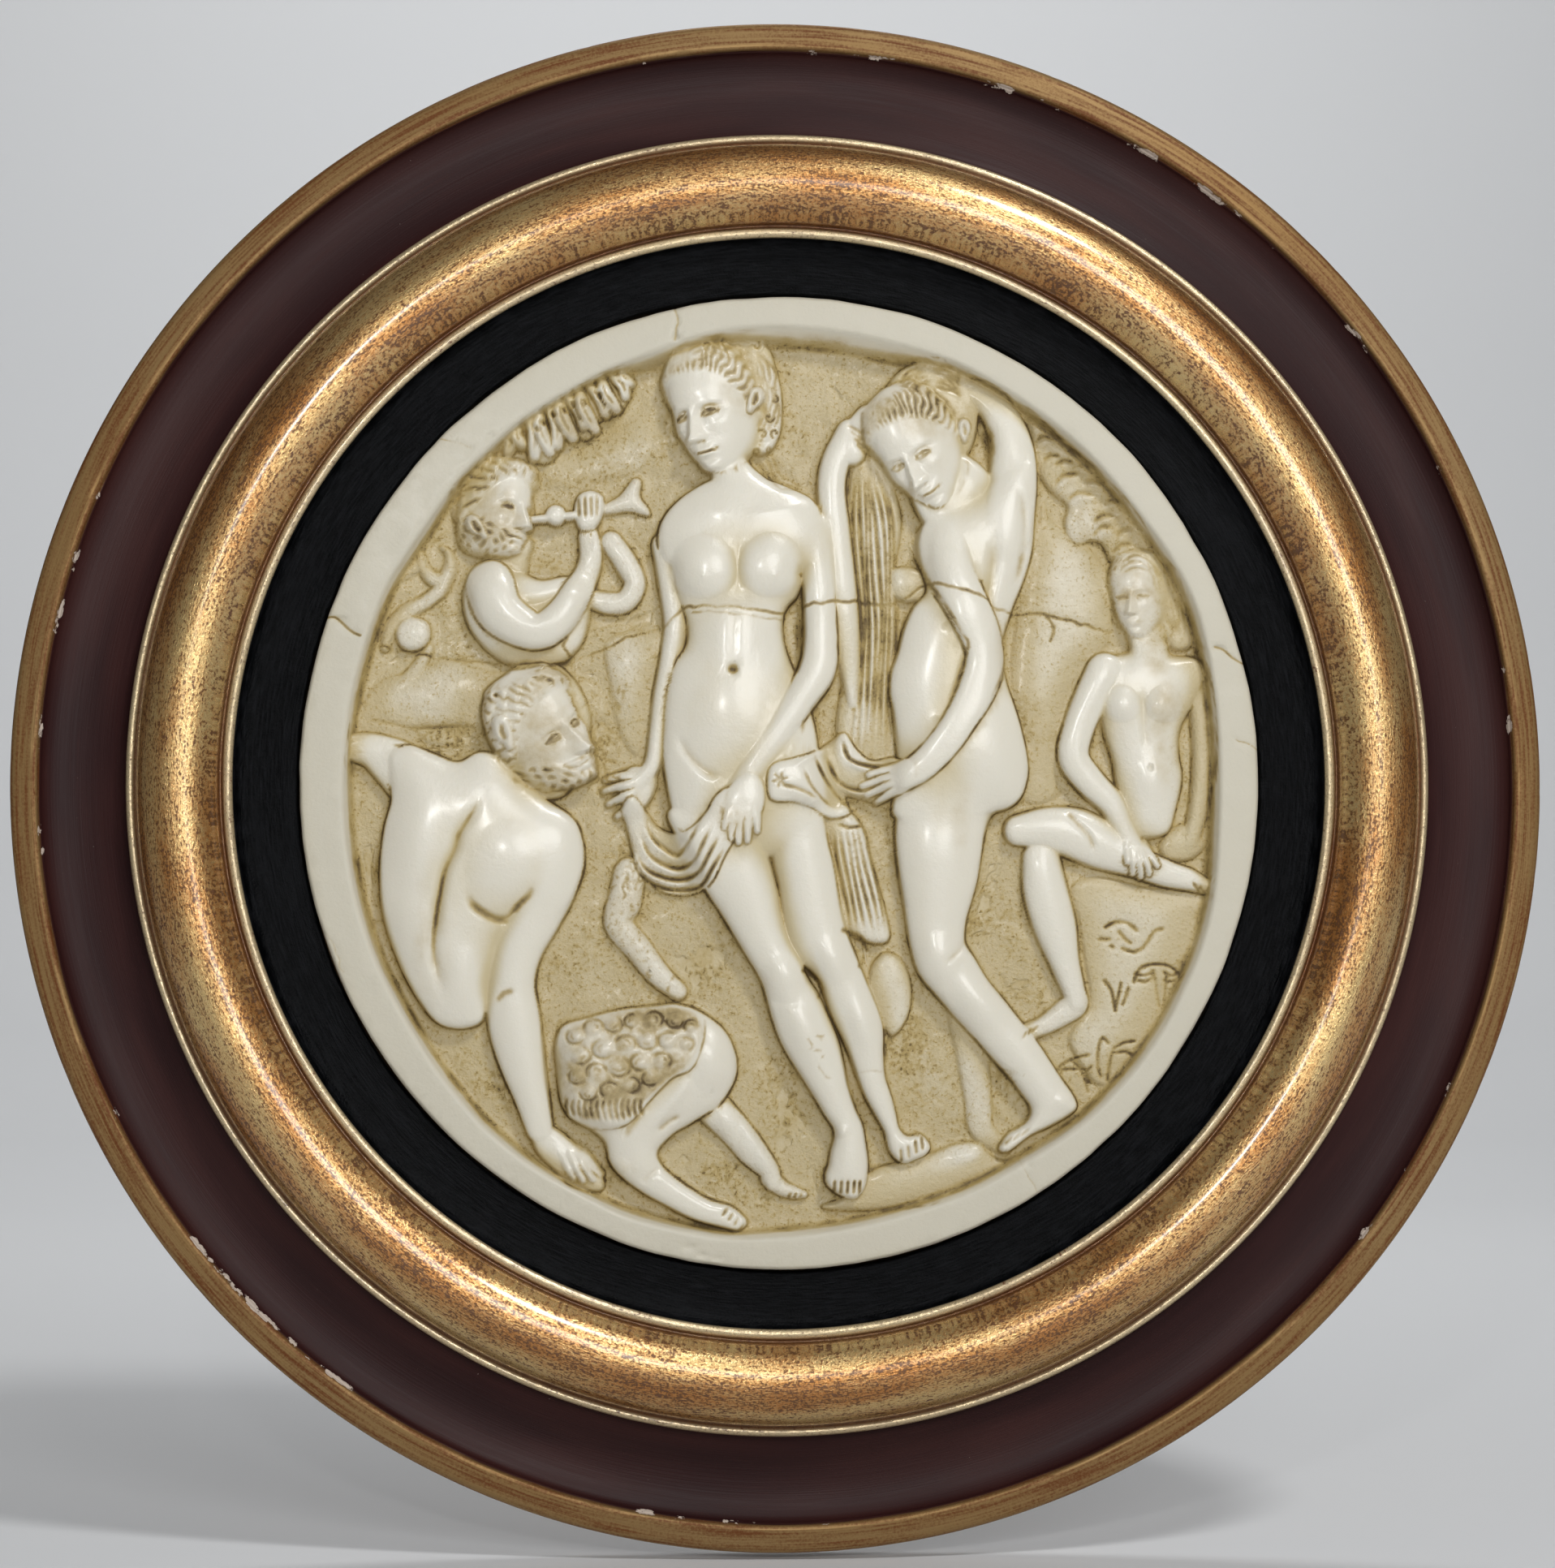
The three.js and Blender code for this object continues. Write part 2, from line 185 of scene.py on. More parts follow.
def band(tree, value, low, high, to_low=0.0, to_high=1.0):
    """Remap a value smoothly from low..high to to_low..to_high, held at both ends."""
    return plug(tree, "MapRange", value, low, high, to_low, to_high, interpolation_type="SMOOTHSTEP")


def tint(tree, share, first, second):
    """Mix two colours, given as sockets or linear red, green, blue."""
    node = tree.nodes.new("ShaderNodeMix")
    node.data_type = "RGBA"
    for socket, value in ((node.inputs[0], share), (node.inputs[6], first), (node.inputs[7], second)):
        if isinstance(value, bpy.types.NodeSocket):
            tree.links.new(value, socket)
        else:
            socket.default_value = value if isinstance(value, float) else (*value, 1.0)
    return node.outputs[2]


def new_material(name, **shader_values):
    """A material, its node tree and its Principled shader, with the constant sockets named set directly."""
    material = bpy.data.materials.new(name)
    material.use_nodes = True
    tree = material.node_tree
    shader = tree.nodes["Principled BSDF"]
    for key, value in shader_values.items():
        shader.inputs[key.replace("_", " ")].default_value = value
    return material, tree, shader


def feed(tree, shader, **sockets):
    """Link colours and numbers to the shader inputs of those names."""
    for name, socket in sockets.items():
        tree.links.new(socket, shader.inputs[name.replace("_", " ")])


def relief(tree, shader, grain, strength, distance_mm):
    """Raise fine grain on the surface with a Bump node into the shader's Normal."""
    bump = tree.nodes.new("ShaderNodeBump")
    bump.inputs["Strength"].default_value = strength
    bump.inputs["Distance"].default_value = distance_mm * MM
    tree.links.new(grain, bump.inputs["Height"])
    feed(tree, shader, Normal=bump.outputs["Normal"])


def make_lathe_group():
    """Node group: a point's radius in mm from the tondo's axis, and noise drawn out along the turning.

    The noise vector is the point's direction from the axis times Along, with the radius and depth
    times Across as its third part, so that the grain runs round the ring with no seam.
    """
    group = bpy.data.node_groups.new("turned_grain", "ShaderNodeTree")
    for name, value in (("Along", 6.0), ("Across", 0.5), ("Detail", 4.0)):
        socket = group.interface.new_socket(name, in_out="INPUT", socket_type="NodeSocketFloat")
        socket.default_value = value
    for name in ("Radius", "Grain", "Speckle"):
        group.interface.new_socket(name, in_out="OUTPUT", socket_type="NodeSocketFloat")
    inputs = group.nodes.new("NodeGroupInput")
    outputs = group.nodes.new("NodeGroupOutput")
    place = object_place(group)
    centred = plug(group, "VectorMath", place, (0.0, 0.0, -CENTRE_Z), operation="ADD")
    flat = plug(group, "VectorMath", centred, (1000.0, 0.0, 1000.0), operation="MULTIPLY")
    radius = plug(group, "VectorMath", flat, operation="LENGTH", out=1)
    heading = plug(group, "VectorMath", flat, operation="NORMALIZE")
    stretched = plug(group, "VectorMath", heading, None, None, inputs.outputs["Along"], operation="SCALE")
    split = plug(group, "SeparateXYZ", stretched).node
    depth = plug(group, "SeparateXYZ", centred).node
    across = times(group, radius, inputs.outputs["Across"])
    deep = times(group, depth.outputs[1], 700.0)
    across = plus(group, across, times(group, deep, inputs.outputs["Across"]))
    woven = plug(group, "CombineXYZ", split.outputs[0], across, split.outputs[2])
    grain = vary(group, woven, 1.0)
    group.links.new(inputs.outputs["Detail"], grain.node.inputs["Detail"])
    speckle = vary(group, centred, 1300.0, 3.0, 0.6)
    for source, name in ((radius, "Radius"), (grain, "Grain"), (speckle, "Speckle")):
        group.links.new(source, outputs.inputs[name])
    return group


lathe_group = make_lathe_group()


def lathe_grain(tree, along, across, detail=4.0):
    """Place the turned grain group in a material, and return its radius, grain and speckle."""
    node = tree.nodes.new("ShaderNodeGroup")
    node.node_tree = lathe_group
    for name, value in (("Along", along), ("Across", across), ("Detail", detail)):
        node.inputs[name].default_value = value
    return node.outputs["Radius"], node.outputs["Grain"], node.outputs["Speckle"]


GOLD_BRIGHT = (0.69, 0.49, 0.21)
GOLD_WORN = (0.14, 0.058, 0.015)
GOLD_DULL = (0.31, 0.205, 0.092)
GOLD_BROWN = (0.27, 0.15, 0.05)
GOLD_ORANGE = (0.49, 0.195, 0.042)
GOLD_PALE = (0.60, 0.49, 0.30)
BOLE = (0.15, 0.05, 0.014)
DARK_RED = (0.024, 0.0065, 0.0065)
DARK_RED_WORN = (0.042, 0.0125, 0.011)
DARK_RED_DUSTY = (0.07, 0.026, 0.022)
GESSO = (0.62, 0.52, 0.44)
WOOD_BROWN = (0.17, 0.10, 0.048)
WOOD_DARK = (0.085, 0.048, 0.024)


def make_frame_finish():
    """Paint inside, gilding on the raised edge, both rubbed, with white ground showing at small chips."""
    material, tree, shader = new_material("red_paint_and_gilt_edge", Specular_IOR_Level=0.17)
    radius, grain, speckle = lathe_grain(tree, 7.0, 0.9)
    broad = lathe_grain(tree, 2.6, 0.07, 2.0)[1]
    waver = scaled(tree, grain, 1.1, -0.55)
    edge = plus(tree, radius, waver)
    gilt = band(tree, edge, PAINT_RADIUS - 0.35, PAINT_RADIUS + 0.25)
    rubbed = band(tree, plus(tree, grain, times(tree, speckle, 0.5)), 0.62, 0.98)
    gold = tint(tree, rubbed, tint(tree, broad, GOLD_DULL, GOLD_BROWN), BOLE)
    paint = tint(tree, band(tree, broad, 0.3, 0.75), DARK_RED, DARK_RED_WORN)
    paint = tint(tree, band(tree, grain, 0.55, 0.9, 0.0, 0.35), paint, DARK_RED_DUSTY)
    paint = tint(tree, band(tree, speckle, 0.76, 0.80, 0.0, 0.6), paint, GESSO)
    colour = tint(tree, gilt, paint, gold)
    place = object_place(tree)
    behind = band(tree, plug(tree, "SeparateXYZ", place, out=1), -PAINT_ENDS * MM, (1 - PAINT_ENDS) * MM)
    in_front = rest(tree, behind)
    turned_wood = tint(tree, band(tree, grain, 0.35, 0.75), WOOD_BROWN, WOOD_DARK)
    colour = tint(tree, behind, colour, turned_wood)
    lumps = vary(tree, place, 95.0, 5.0, 0.65)
    where = vary(tree, place, 9.0, 2.0, 0.5)
    near_edge = times(tree, band(tree, apart(tree, radius, PAINT_RADIUS - 0.3), 0.3, 2.2, 1.0, 0.0),
                      in_front)
    chip = times(tree, times(tree, lumps, plus(tree, where, 0.42)), near_edge)
    chip = band(tree, chip, 0.565, 0.60)
    colour = tint(tree, chip, colour, GESSO)
    feed(tree, shader, Base_Color=colour)
    metal = times(tree, gilt, math_node(tree, "SUBTRACT", 0.42, times(tree, rubbed, 0.3)))
    metal = times(tree, metal, rest(tree, chip))
    metal = times(tree, metal, in_front)
    feed(tree, shader, Metallic=metal)
    feed(tree, shader, Roughness=scaled(tree, grain, 0.22, 0.36))
    lines = lathe_grain(tree, 3.0, 2.6, 3.0)[1]
    height_field = plus(tree, lines, times(tree, speckle, 0.3))
    height_field = math_node(tree, "SUBTRACT", height_field, times(tree, chip, 1.2))
    relief(tree, shader, height_field, 0.5, 0.12)
    return material


PAINT_RADIUS = 231.2
PAINT_ENDS = 13.8
frame_finish = make_frame_finish()
EDGE_RADIUS = 240.0
LIP_RADIUS = 231.6
GILT_RADIUS = 204.2
RABBET_RADIUS = 186.3
LEDGE_RADIUS = 160.0
BACK_OUT = 2.0
RABBET_OUT = 7.3
LEDGE_OUT = 12.0
outer_section = np.vstack([
    eased([(RABBET_RADIUS, BACK_OUT), (218.0, BACK_OUT)], 6)[:6],
    [(219.5, 2.4), (230, 8.2), (238.6, 12.9), (239.6, PAINT_ENDS), (EDGE_RADIUS, 15.0),
     (EDGE_RADIUS, 18.0), (EDGE_RADIUS, 21.0), (EDGE_RADIUS, 23.4), (239.8, 24.4), (239.3, 25.2),
     (238.4, 25.7), (237.2, 25.9), (235.6, 26.15), (234.0, 26.4), (232.8, 26.55), (232.0, 26.5),
     (231.55, 26.2), (231.3, 25.7), (PAINT_RADIUS, 25.0), (231.0, 24.5)],
    arc((230.6, 24.3), (GILT_RADIUS, 22.2), 19.4, 44),
    [(GILT_RADIUS, 18.0), (GILT_RADIUS, LEDGE_OUT), (196, LEDGE_OUT), (178, LEDGE_OUT),
     (LEDGE_RADIUS, LEDGE_OUT), (LEDGE_RADIUS, 9.5), (LEDGE_RADIUS, RABBET_OUT), (172.0, RABBET_OUT),
     (RABBET_RADIUS, RABBET_OUT), (RABBET_RADIUS, 4.6)]])


def lip_wear(angle, radius, out):
    """Knocks in the gilt lip and its outer edge, and the slight ovals of old turned wood."""
    lip = np.exp(-(((radius - LIP_RADIUS) / 0.9) ** 2)) * (out > 24.6)
    rng = np.random.default_rng(5)
    dents = sum(-rng.uniform(0.15, 0.6)
                * np.exp(-((np.angle(np.exp(1j * (angle - at)))) / rng.uniform(0.003, 0.012)) ** 2)
                for at in rng.uniform(0, 2 * np.pi, 34))
    rim = np.exp(-(((radius - 239.6) / 0.8) ** 2)) * (out > 23)
    worn_rim = rim * (0.5 * dents[::-1] + wander(angle, 3, amount=0.03))
    return lip * dents + worn_rim + wander(angle * 2, 9, amount=0.02)


outer_frame = add_piece("turned_outer_frame",
                        *turn_section(outer_section, TURNED_SIDES, lip_wear), [frame_finish])
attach(outer_frame, "root")
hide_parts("outer_frame")

# Gilt moulding: a bold half-round of turned wood between a small outer bead and an inner lip, laid
# over bole with gold leaf that is rubbed through in streaks along the turning. It is glued into
# the seat inside the frame's hollow and laps over the slip.
OUTER_GROOVE = 200.9
INNER_GROOVE = 174.5


def make_gilding():
    """Gold leaf from pale to orange, dark in specks where it is thin, with painted shade in the grooves."""
    material, tree, shader = new_material("rubbed_gold_leaf", IOR=1.7, Specular_Tint=(1.0, 0.97, 0.84, 1.0),
                                          Coat_Weight=0.75, Coat_Roughness=0.16)
    radius, stipple, speckle = lathe_grain(tree, 130.0, 2.4, 4.0)
    streaks = lathe_grain(tree, 26.0, 1.0, 5.0)[1]
    patches = lathe_grain(tree, 3.4, 0.1, 2.0)[1]
    worn = plus(tree, times(tree, stipple, 0.9), times(tree, streaks, 0.5))
    worn = plus(tree, worn, times(tree, speckle, 0.8))
    worn = plus(tree, worn, times(tree, patches, 0.3))
    warm = plus(tree, times(tree, patches, 0.7), times(tree, stipple, 0.5))
    leaf_colour = tint(tree, band(tree, warm, 0.4, 0.75), GOLD_BRIGHT, GOLD_ORANGE)
    leaf_colour = tint(tree, band(tree, worn, 1.2, 1.42), leaf_colour, GOLD_WORN)
    beads = math_node(tree, "MAXIMUM", band(tree, radius, OUTER_GROOVE - 0.1, OUTER_GROOVE + 0.7),
                      band(tree, radius, INNER_GROOVE - 1.3, INNER_GROOVE - 0.5, 1.0, 0.0))
    leaf_colour = tint(tree, times(tree, beads, 0.85), leaf_colour, GOLD_PALE)
    # painted shade: the two grooves get the dark bole colour and less metal, standing for the shadow in
    # them
    groove = band(tree, apart(tree, radius, OUTER_GROOVE), 0.2, 1.3, 1.0, 0.0)
    inner = band(tree, apart(tree, radius, INNER_GROOVE), 0.3, 1.5, 1.0, 0.0)
    rubbed = band(tree, worn, 1.34, 1.56)
    rubbed = math_node(tree, "MAXIMUM", rubbed, times(tree, plus(tree, groove, inner), 0.8))
    feed(tree, shader, Base_Color=tint(tree, rubbed, leaf_colour, BOLE))
    shine = scaled(tree, rubbed, -0.4, 0.72)
    feed(tree, shader, Metallic=scaled(tree, beads, -0.15, shine))
    feed(tree, shader, Roughness=band(tree, worn, 0.9, 1.6, 0.22, 0.5))
    relief(tree, shader, worn, 0.8, 0.16)
    return material


gilding = make_gilding()
SEATED_RADIUS = GILT_RADIUS - 0.3
moulding_section = np.vstack([
    [(SEATED_RADIUS, 12.3), (SEATED_RADIUS, 17), (SEATED_RADIUS, 22), (203.9, 26.2), (203.7, 27.0),
     (203.2, 27.6), (202.5, 27.8), (201.8, 27.6), (201.3, 27.0), (OUTER_GROOVE, 26.5)],
    arc((200.6, 26.6), (174.7, 27.2), 37.6, 60),
    [(INNER_GROOVE, 27.1), (174.2, 27.5), (173.8, 28.4), (173.1, 29.0), (172.1, 29.2), (171.2, 28.9),
     (170.75, 28.2), (170.7, 27.5), (170.9, 27.0), (173.5, 27.0), (176.2, 27.0), (176.2, 20),
     (176.2, 12.3), (186, 12.3), (195, 12.3)]])


def moulding_wear(angle, radius, out):
    """Small flats and waves left by the hand tools on the half-round."""
    top = np.clip((out - 27) / 8, 0, 1)
    return top * wander(angle, 21, 14, 0.03) + top * wander(angle + radius * 0.02, 22, 30, 0.012)


gilt_moulding = add_piece("gilt_half_round",
                          *turn_section(moulding_section, TURNED_SIDES, moulding_wear), [gilding])
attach(gilt_moulding, "root")
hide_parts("gilt_moulding")

# Slip: an ebonised ring hollowed like a saucer, brushed round with black lacquer. It lies on the
# frame's ledge under the gilt lip, and its oval hole is cut to fit the plaque.
LACQUER_BLACK = (0.0008, 0.001, 0.0013)
LACQUER_GREY = (0.009, 0.0095, 0.011)


def make_ebonising():
    """Near-black lacquer with brush strokes round the ring."""
    material, tree, shader = new_material("brushed_black_lacquer", Specular_IOR_Level=0.06)
    _, strokes, speckle = lathe_grain(tree, 26.0, 1.6, 6.0)
    broad = lathe_grain(tree, 3.0, 0.12, 2.0)[1]
    colour = tint(tree, band(tree, strokes, 0.35, 0.8), LACQUER_BLACK, LACQUER_GREY)
    colour = tint(tree, band(tree, broad, 0.5, 0.8, 0.0, 0.5), colour, LACQUER_GREY)
    feed(tree, shader, Base_Color=colour)
    feed(tree, shader, Roughness=band(tree, strokes, 0.2, 0.8, 0.28, 0.5))
    relief(tree, shader, plus(tree, strokes, times(tree, speckle, 0.6)), 1.0, 0.4)
    return material


ebonising = make_ebonising()
SLIP_OVAL = np.array([151.5, 154.1])
SLIP_RADIUS = 175.9
SLIP_SIDES = 720
slip_section = np.vstack([
    [(0.0, 12.3), (0.35, 12.3), (0.7, 12.3), (1.0, 12.3), (1.0, 18), (1.0, 26.7)],
    [(0.86, 26.7), (0.785, 26.7), (0.775, 26.2), (0.765, 25.2), (0.745, 24.2), (0.70, 23.4), (0.64, 22.8),
     (0.56, 22.4), (0.48, 22.1), (0.4, 21.9), (0.3, 21.75), (0.2, 21.6), (0.1, 21.5), (0.02, 21.4),
     (0.0, 21.2), (0.0, 17)]])
slip_angle = np.linspace(0, 2 * np.pi, SLIP_SIDES, endpoint=False)[:, None]
slip_inner = SLIP_OVAL.prod() / np.hypot(SLIP_OVAL[1] * np.cos(slip_angle),
                                         SLIP_OVAL[0] * np.sin(slip_angle))
slip_inner = slip_inner + wander(slip_angle, 31, 24, 0.10)
slip_radius = slip_inner + (SLIP_RADIUS - slip_inner) * slip_section[:, 0]
slip_out = np.tile(slip_section[:, 1], (SLIP_SIDES, 1))
slip = add_piece("black_slip", ring_points(slip_angle, slip_radius, slip_out),
                 ring_faces(SLIP_SIDES, len(slip_section)), [ebonising])
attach(slip, "root")
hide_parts("ebonised_slip")
# Alabaster plaque: the carver's strokes. The relief is first worked as a height, in millimetres above
# the sunk ground, on a fine grid over the plaque. Places are in drawing units of 0.254 mm, counted
# from the drawing's top left corner, and the plaque's middle is at DRAWING_CENTRE.
DRAWING_UNIT = 0.240 / 945
UNIT_MM = DRAWING_UNIT * 1000
DRAWING_CENTRE = np.array([959.0, 965.0])
PLAQUE_HALF = np.array([591.5, 601.5])
GRAIN = 1.25
GRID_START = DRAWING_CENTRE - PLAQUE_HALF - 6
GRID_SHAPE = tuple(np.ceil((2 * PLAQUE_HALF + 12) / GRAIN).astype(int)[::-1])
RIM_HEIGHT = 10.0
CREASE_WIDTH = 2.0
RUBBED_ABOVE = 3.5
height = np.zeros(GRID_SHAPE, np.float32)
dirt_and_shade = np.zeros(GRID_SHAPE, np.float32)


def window(points, reach):
    """The part of the grid within reach of some points, with the drawing's x and y over it."""
    low = np.floor((np.min(points, axis=0) - reach - GRID_START) / GRAIN).astype(int)
    high = np.ceil((np.max(points, axis=0) + reach - GRID_START) / GRAIN).astype(int) + 1
    low = np.clip(low, 0, None)
    high = np.clip(high, low + 1, np.array(GRID_SHAPE[::-1]))
    part = (slice(low[1], high[1]), slice(low[0], high[0]))
    x = GRID_START[0] + GRAIN * np.arange(low[0], high[0], dtype=np.float32)
    y = GRID_START[1] + GRAIN * np.arange(low[1], high[1], dtype=np.float32)
    return part, x[None, :], y[:, None]


def flowing(points, closed=False, spacing=5.0):
    """A smooth line through the points: each span is a cubic whose slopes come from its neighbours."""
    p = np.asarray(points, float)
    if closed:
        p = np.vstack([p[-1:], p, p[:2]])
    else:
        p = np.vstack([2 * p[:1] - p[1:2], p, 2 * p[-1:] - p[-2:-1]])
    spans = []
    for a, b, c, d in zip(p[:-3], p[1:-2], p[2:-1], p[3:]):
        steps = max(2, int(np.hypot(*(c - b)[:2]) / spacing))
        t = (np.arange(steps) / steps)[:, None]
        spans.append(b + 0.5 * t * (c - a + t * (2 * a - 5 * b + 4 * c - d + t * (3 * (b - c) + d - a))))
    if not closed:
        spans.append(p[-2:-1])
    return np.vstack(spans)


def nearness(line, reach, closed=False):
    """Distance from every grid point in reach to a line, and how far along the line, from 0 to 1."""
    part, x, y = window(line[:, :2], reach)
    far = np.full((y.size, x.size), np.float32(reach))
    share = np.zeros_like(far)
    ends = np.vstack([line[1:], line[:1]]) if closed else line[1:]
    count = len(ends)
    for i, (start, end) in enumerate(zip(line[:, :2], ends[:, :2])):
        low_x, high_x = sorted((start[0], end[0]))
        low_y, high_y = sorted((start[1], end[1]))
        columns = slice(*np.searchsorted(x[0], [low_x - reach, high_x + reach]))
        rows = slice(*np.searchsorted(y[:, 0], [low_y - reach, high_y + reach]))
        right = x[:, columns] - start[0]
        down = y[rows] - start[1]
        step = end - start
        t = np.clip((right * step[0] + down * step[1]) / max(step @ step, 1e-6), 0, 1)
        away = np.hypot(right - t * step[0], down - t * step[1])
        closer = away < far[rows, columns]
        far[rows, columns] = np.where(closer, away, far[rows, columns])
        share[rows, columns] = np.where(closer, (i + t) / count, share[rows, columns])
    return part, x, y, far, share


def inside(line, x, y):
    """Whether each grid point is inside a closed line: its ray to the left crosses it an odd count."""
    odd = np.zeros((y.size, x.size), bool)
    for (x1, y1), (x2, y2) in zip(line[:, :2], np.roll(line[:, :2], -1, axis=0)):
        if y1 == y2:
            continue
        rows = (y[:, 0] > min(y1, y2)) & (y[:, 0] <= max(y1, y2))
        crossing = x1 + (y[rows] - y1) * (x2 - x1) / (y2 - y1)
        odd[rows] ^= x > crossing
    return odd


def box_blur(field, radius):
    """Mean over a square of 2 * radius + 1 cells, from running sums along each axis."""
    for axis in (0, 1):
        pad = [(0, 0), (0, 0)]
        pad[axis] = (radius + 1, radius)
        total = np.cumsum(np.pad(field, pad, mode="edge").astype(np.float64), axis=axis)
        size = field.shape[axis]
        upper = np.take(total, np.arange(2 * radius + 1, 2 * radius + 1 + size), axis=axis)
        field = ((upper - np.take(total, np.arange(size), axis=axis)) / (2 * radius + 1)).astype(np.float32)
    return field


def soft(field, radius):
    """Two box blurs in a row, close to a bell-shaped blur."""
    return box_blur(box_blur(field, radius), radius)


def smooth_max(a, b, blend):
    """The larger of two heights, rounded over within blend of where they are equal."""
    near = np.maximum(blend - np.abs(a - b), 0)
    return np.maximum(a, b) + near**2 / (4 * max(blend, 1e-6))


def swelling(line, reach):
    """Round a closed outline up like a skin blown out from it.

    On a coarse grid u solves: the sum of its second slopes is -2, with 0 on the outline. On a strip
    of half width w that is d * (2 * w - d) at distance d from the edge. Near the edge, where the
    coarse grid is too rough, w is read back from u and the exact distance gives a clean slope.
    """
    part, x, y, away, _ = nearness(line, reach, closed=True)
    within = inside(line, x, y)
    coarse = 4
    pitch = coarse * GRAIN
    d = away[::coarse, ::coarse]
    solid = within[::coarse, ::coarse] & (d > 1.0)
    solid[[0, -1]] = False
    solid[:, [0, -1]] = False
    u = np.where(solid, d**2, 0).astype(np.float32)
    weight = solid.astype(np.float32) * 0.25
    for _ in range(int(80 + 2.4 * (d[solid].max(initial=1) / pitch) ** 2)):
        u[1:-1, 1:-1] = weight[1:-1, 1:-1] * (
            u[:-2, 1:-1] + u[2:, 1:-1] + u[1:-1, :-2] + u[1:-1, 2:] + 2 * pitch**2
        )
    sure = solid & (d > pitch)
    if not sure.any():
        sure = solid
    half = np.where(sure, np.minimum((u / np.maximum(d, 1) + d) / 2, reach), 0)
    mass = sure.astype(np.float32)
    half = soft(half, 3) + 0.02 * soft(half, 12)
    half = half / np.maximum(soft(mass, 3) + 0.02 * soft(mass, 12), 1e-4)
    rows = np.arange(y.size)[:, None] / coarse
    columns = np.arange(x.size)[None, :] / coarse
    half = np.maximum(blend_grid(half, rows, columns), 3)
    inner = blend_grid(soft(u, 1), rows, columns)
    edge_wise = np.minimum(away, half) * (2 * half - np.minimum(away, half))
    deep = np.clip((away - pitch) / (2 * pitch), 0, 1)
    square = np.where(within, edge_wise * (1 - deep) + inner * deep, 0)
    return part, x, y, np.where(within, away, -away), half, square


def blend_grid(field, rows, columns):
    """Field read between its cells, weighted by nearness to the four around each place."""
    r = np.clip(np.floor(rows).astype(int), 0, field.shape[0] - 2)
    c = np.clip(np.floor(columns).astype(int), 0, field.shape[1] - 2)
    down = np.clip(rows - r, 0, 1)
    right = np.clip(columns - c, 0, 1)
    top = field[r, c] * (1 - right) + field[r, c + 1] * right
    bottom = field[r + 1, c] * (1 - right) + field[r + 1, c + 1] * right
    return top * (1 - down) + bottom * down


def level(value, x, y):
    """A height that is one number, or runs between two (x, y, height) places."""
    if np.isscalar(value):
        return value
    (ax, ay, a), (bx, by, b) = value
    t = ((x - ax) * (bx - ax) + (y - ay) * (by - ay)) / ((bx - ax) ** 2 + (by - ay) ** 2)
    return a + (b - a) * np.clip(t, 0, 1)


def body(outline, base=None, rise=1.0, lift=None, blend=0.0, line=1.0, reach=95):
    """Raise a rounded form inside an outline.

    Its edge stands at base above the ground, or lift above what is already carved there, and it
    swells by 0.7 of its half width for a thin limb and less for a broad body. line is how dark the
    dirt lies in the crease round it.
    """
    closed = flowing(outline, closed=True)
    part, x, y, depth, half, square = swelling(closed, reach)
    half_mm = half * UNIT_MM
    swell = np.sqrt(square) * UNIT_MM * 0.7 * (half_mm / 5) ** -0.55 * rise
    under = height[part]
    floor = level(base, x, y) if lift is None else soft(under, 8) + level(lift, x, y)
    top = floor + swell
    over = smooth_max(under, top, blend) if blend else np.maximum(under, top)
    cover = np.clip(depth / GRAIN + 0.5, 0, 1)
    height[part] = under + (over - under) * cover
    shown = cover * (top > under - 0.2)
    gathered = np.exp(-(np.maximum(-depth, 0) / CREASE_WIDTH) ** 2) * line
    dirt_and_shade[part] = np.maximum(dirt_and_shade[part] * (1 - shown), gathered * (1 - cover) * (top > under - 0.5))


def limb(stations, **carving):
    """A form with round ends carried along a line of (x, y, half width) stations."""
    path = flowing(stations, spacing=9)
    along = np.gradient(path[:, :2], axis=0)
    along /= np.maximum(np.hypot(*along.T), 1e-6)[:, None]
    side = np.stack([along[:, 1], -along[:, 0]], 1)
    width = path[:, 2:3]
    turn = np.radians([60, 30, 0, -30, -60])[:, None]
    last_cap = path[-1, :2] + path[-1, 2] * (side[-1] * np.sin(turn) + along[-1] * np.cos(turn))
    first_cap = path[0, :2] - path[0, 2] * (side[0] * np.sin(turn) + along[0] * np.cos(turn))
    ring = np.vstack([path[:, :2] + side * width, last_cap, (path[:, :2] - side * width)[::-1], first_cap])
    body(ring, reach=max(width.max() * 1.3, 12), **carving)


def fingers(spans, widths, bend, lift, rise, line=0.8):
    """Fingers or toes, each a limb from its root to its tip, bent a little at the middle.

    A span gives the root's x and y and the tip's, and widths are those at root, middle and tip.
    """
    root, middle, tip = widths
    for x1, y1, x2, y2 in spans:
        limb([(x1, y1, root), ((x1 + x2) / 2, (y1 + y2) / 2 - bend, middle), (x2, y2, tip)],
             lift=lift, rise=rise, line=line)


def darken(part, amount):
    """Lay dirt, and in a few places painted shade, on a part of the grid wherever there is less of it."""
    dirt_and_shade[part] = np.maximum(dirt_and_shade[part], amount)


def press(points, width, amount, taper=True, stain=0.0):
    """Push the surface up or down along a line, as a bell across it, fading at both ends if tapered."""
    line = flowing(points, spacing=6) if len(points) > 2 else np.asarray(points, float)
    part, _, _, away, share = nearness(line, 2.6 * width)
    bell = np.exp(-((away / width) ** 2)) - np.exp(-(2.6**2))
    if taper:
        bell = bell * np.clip(np.minimum(share, 1 - share) * 5, 0.15, 1)
    height[part] += amount * bell
    if stain:
        darken(part, stain * bell)


def nicks(starts, right, down, width, depth, stain):
    """Short grooves side by side, all running the same way from their starts, as between toes."""
    for x, y in starts:
        press([(x, y), (x + right, y + down)], width, -depth, stain=stain)


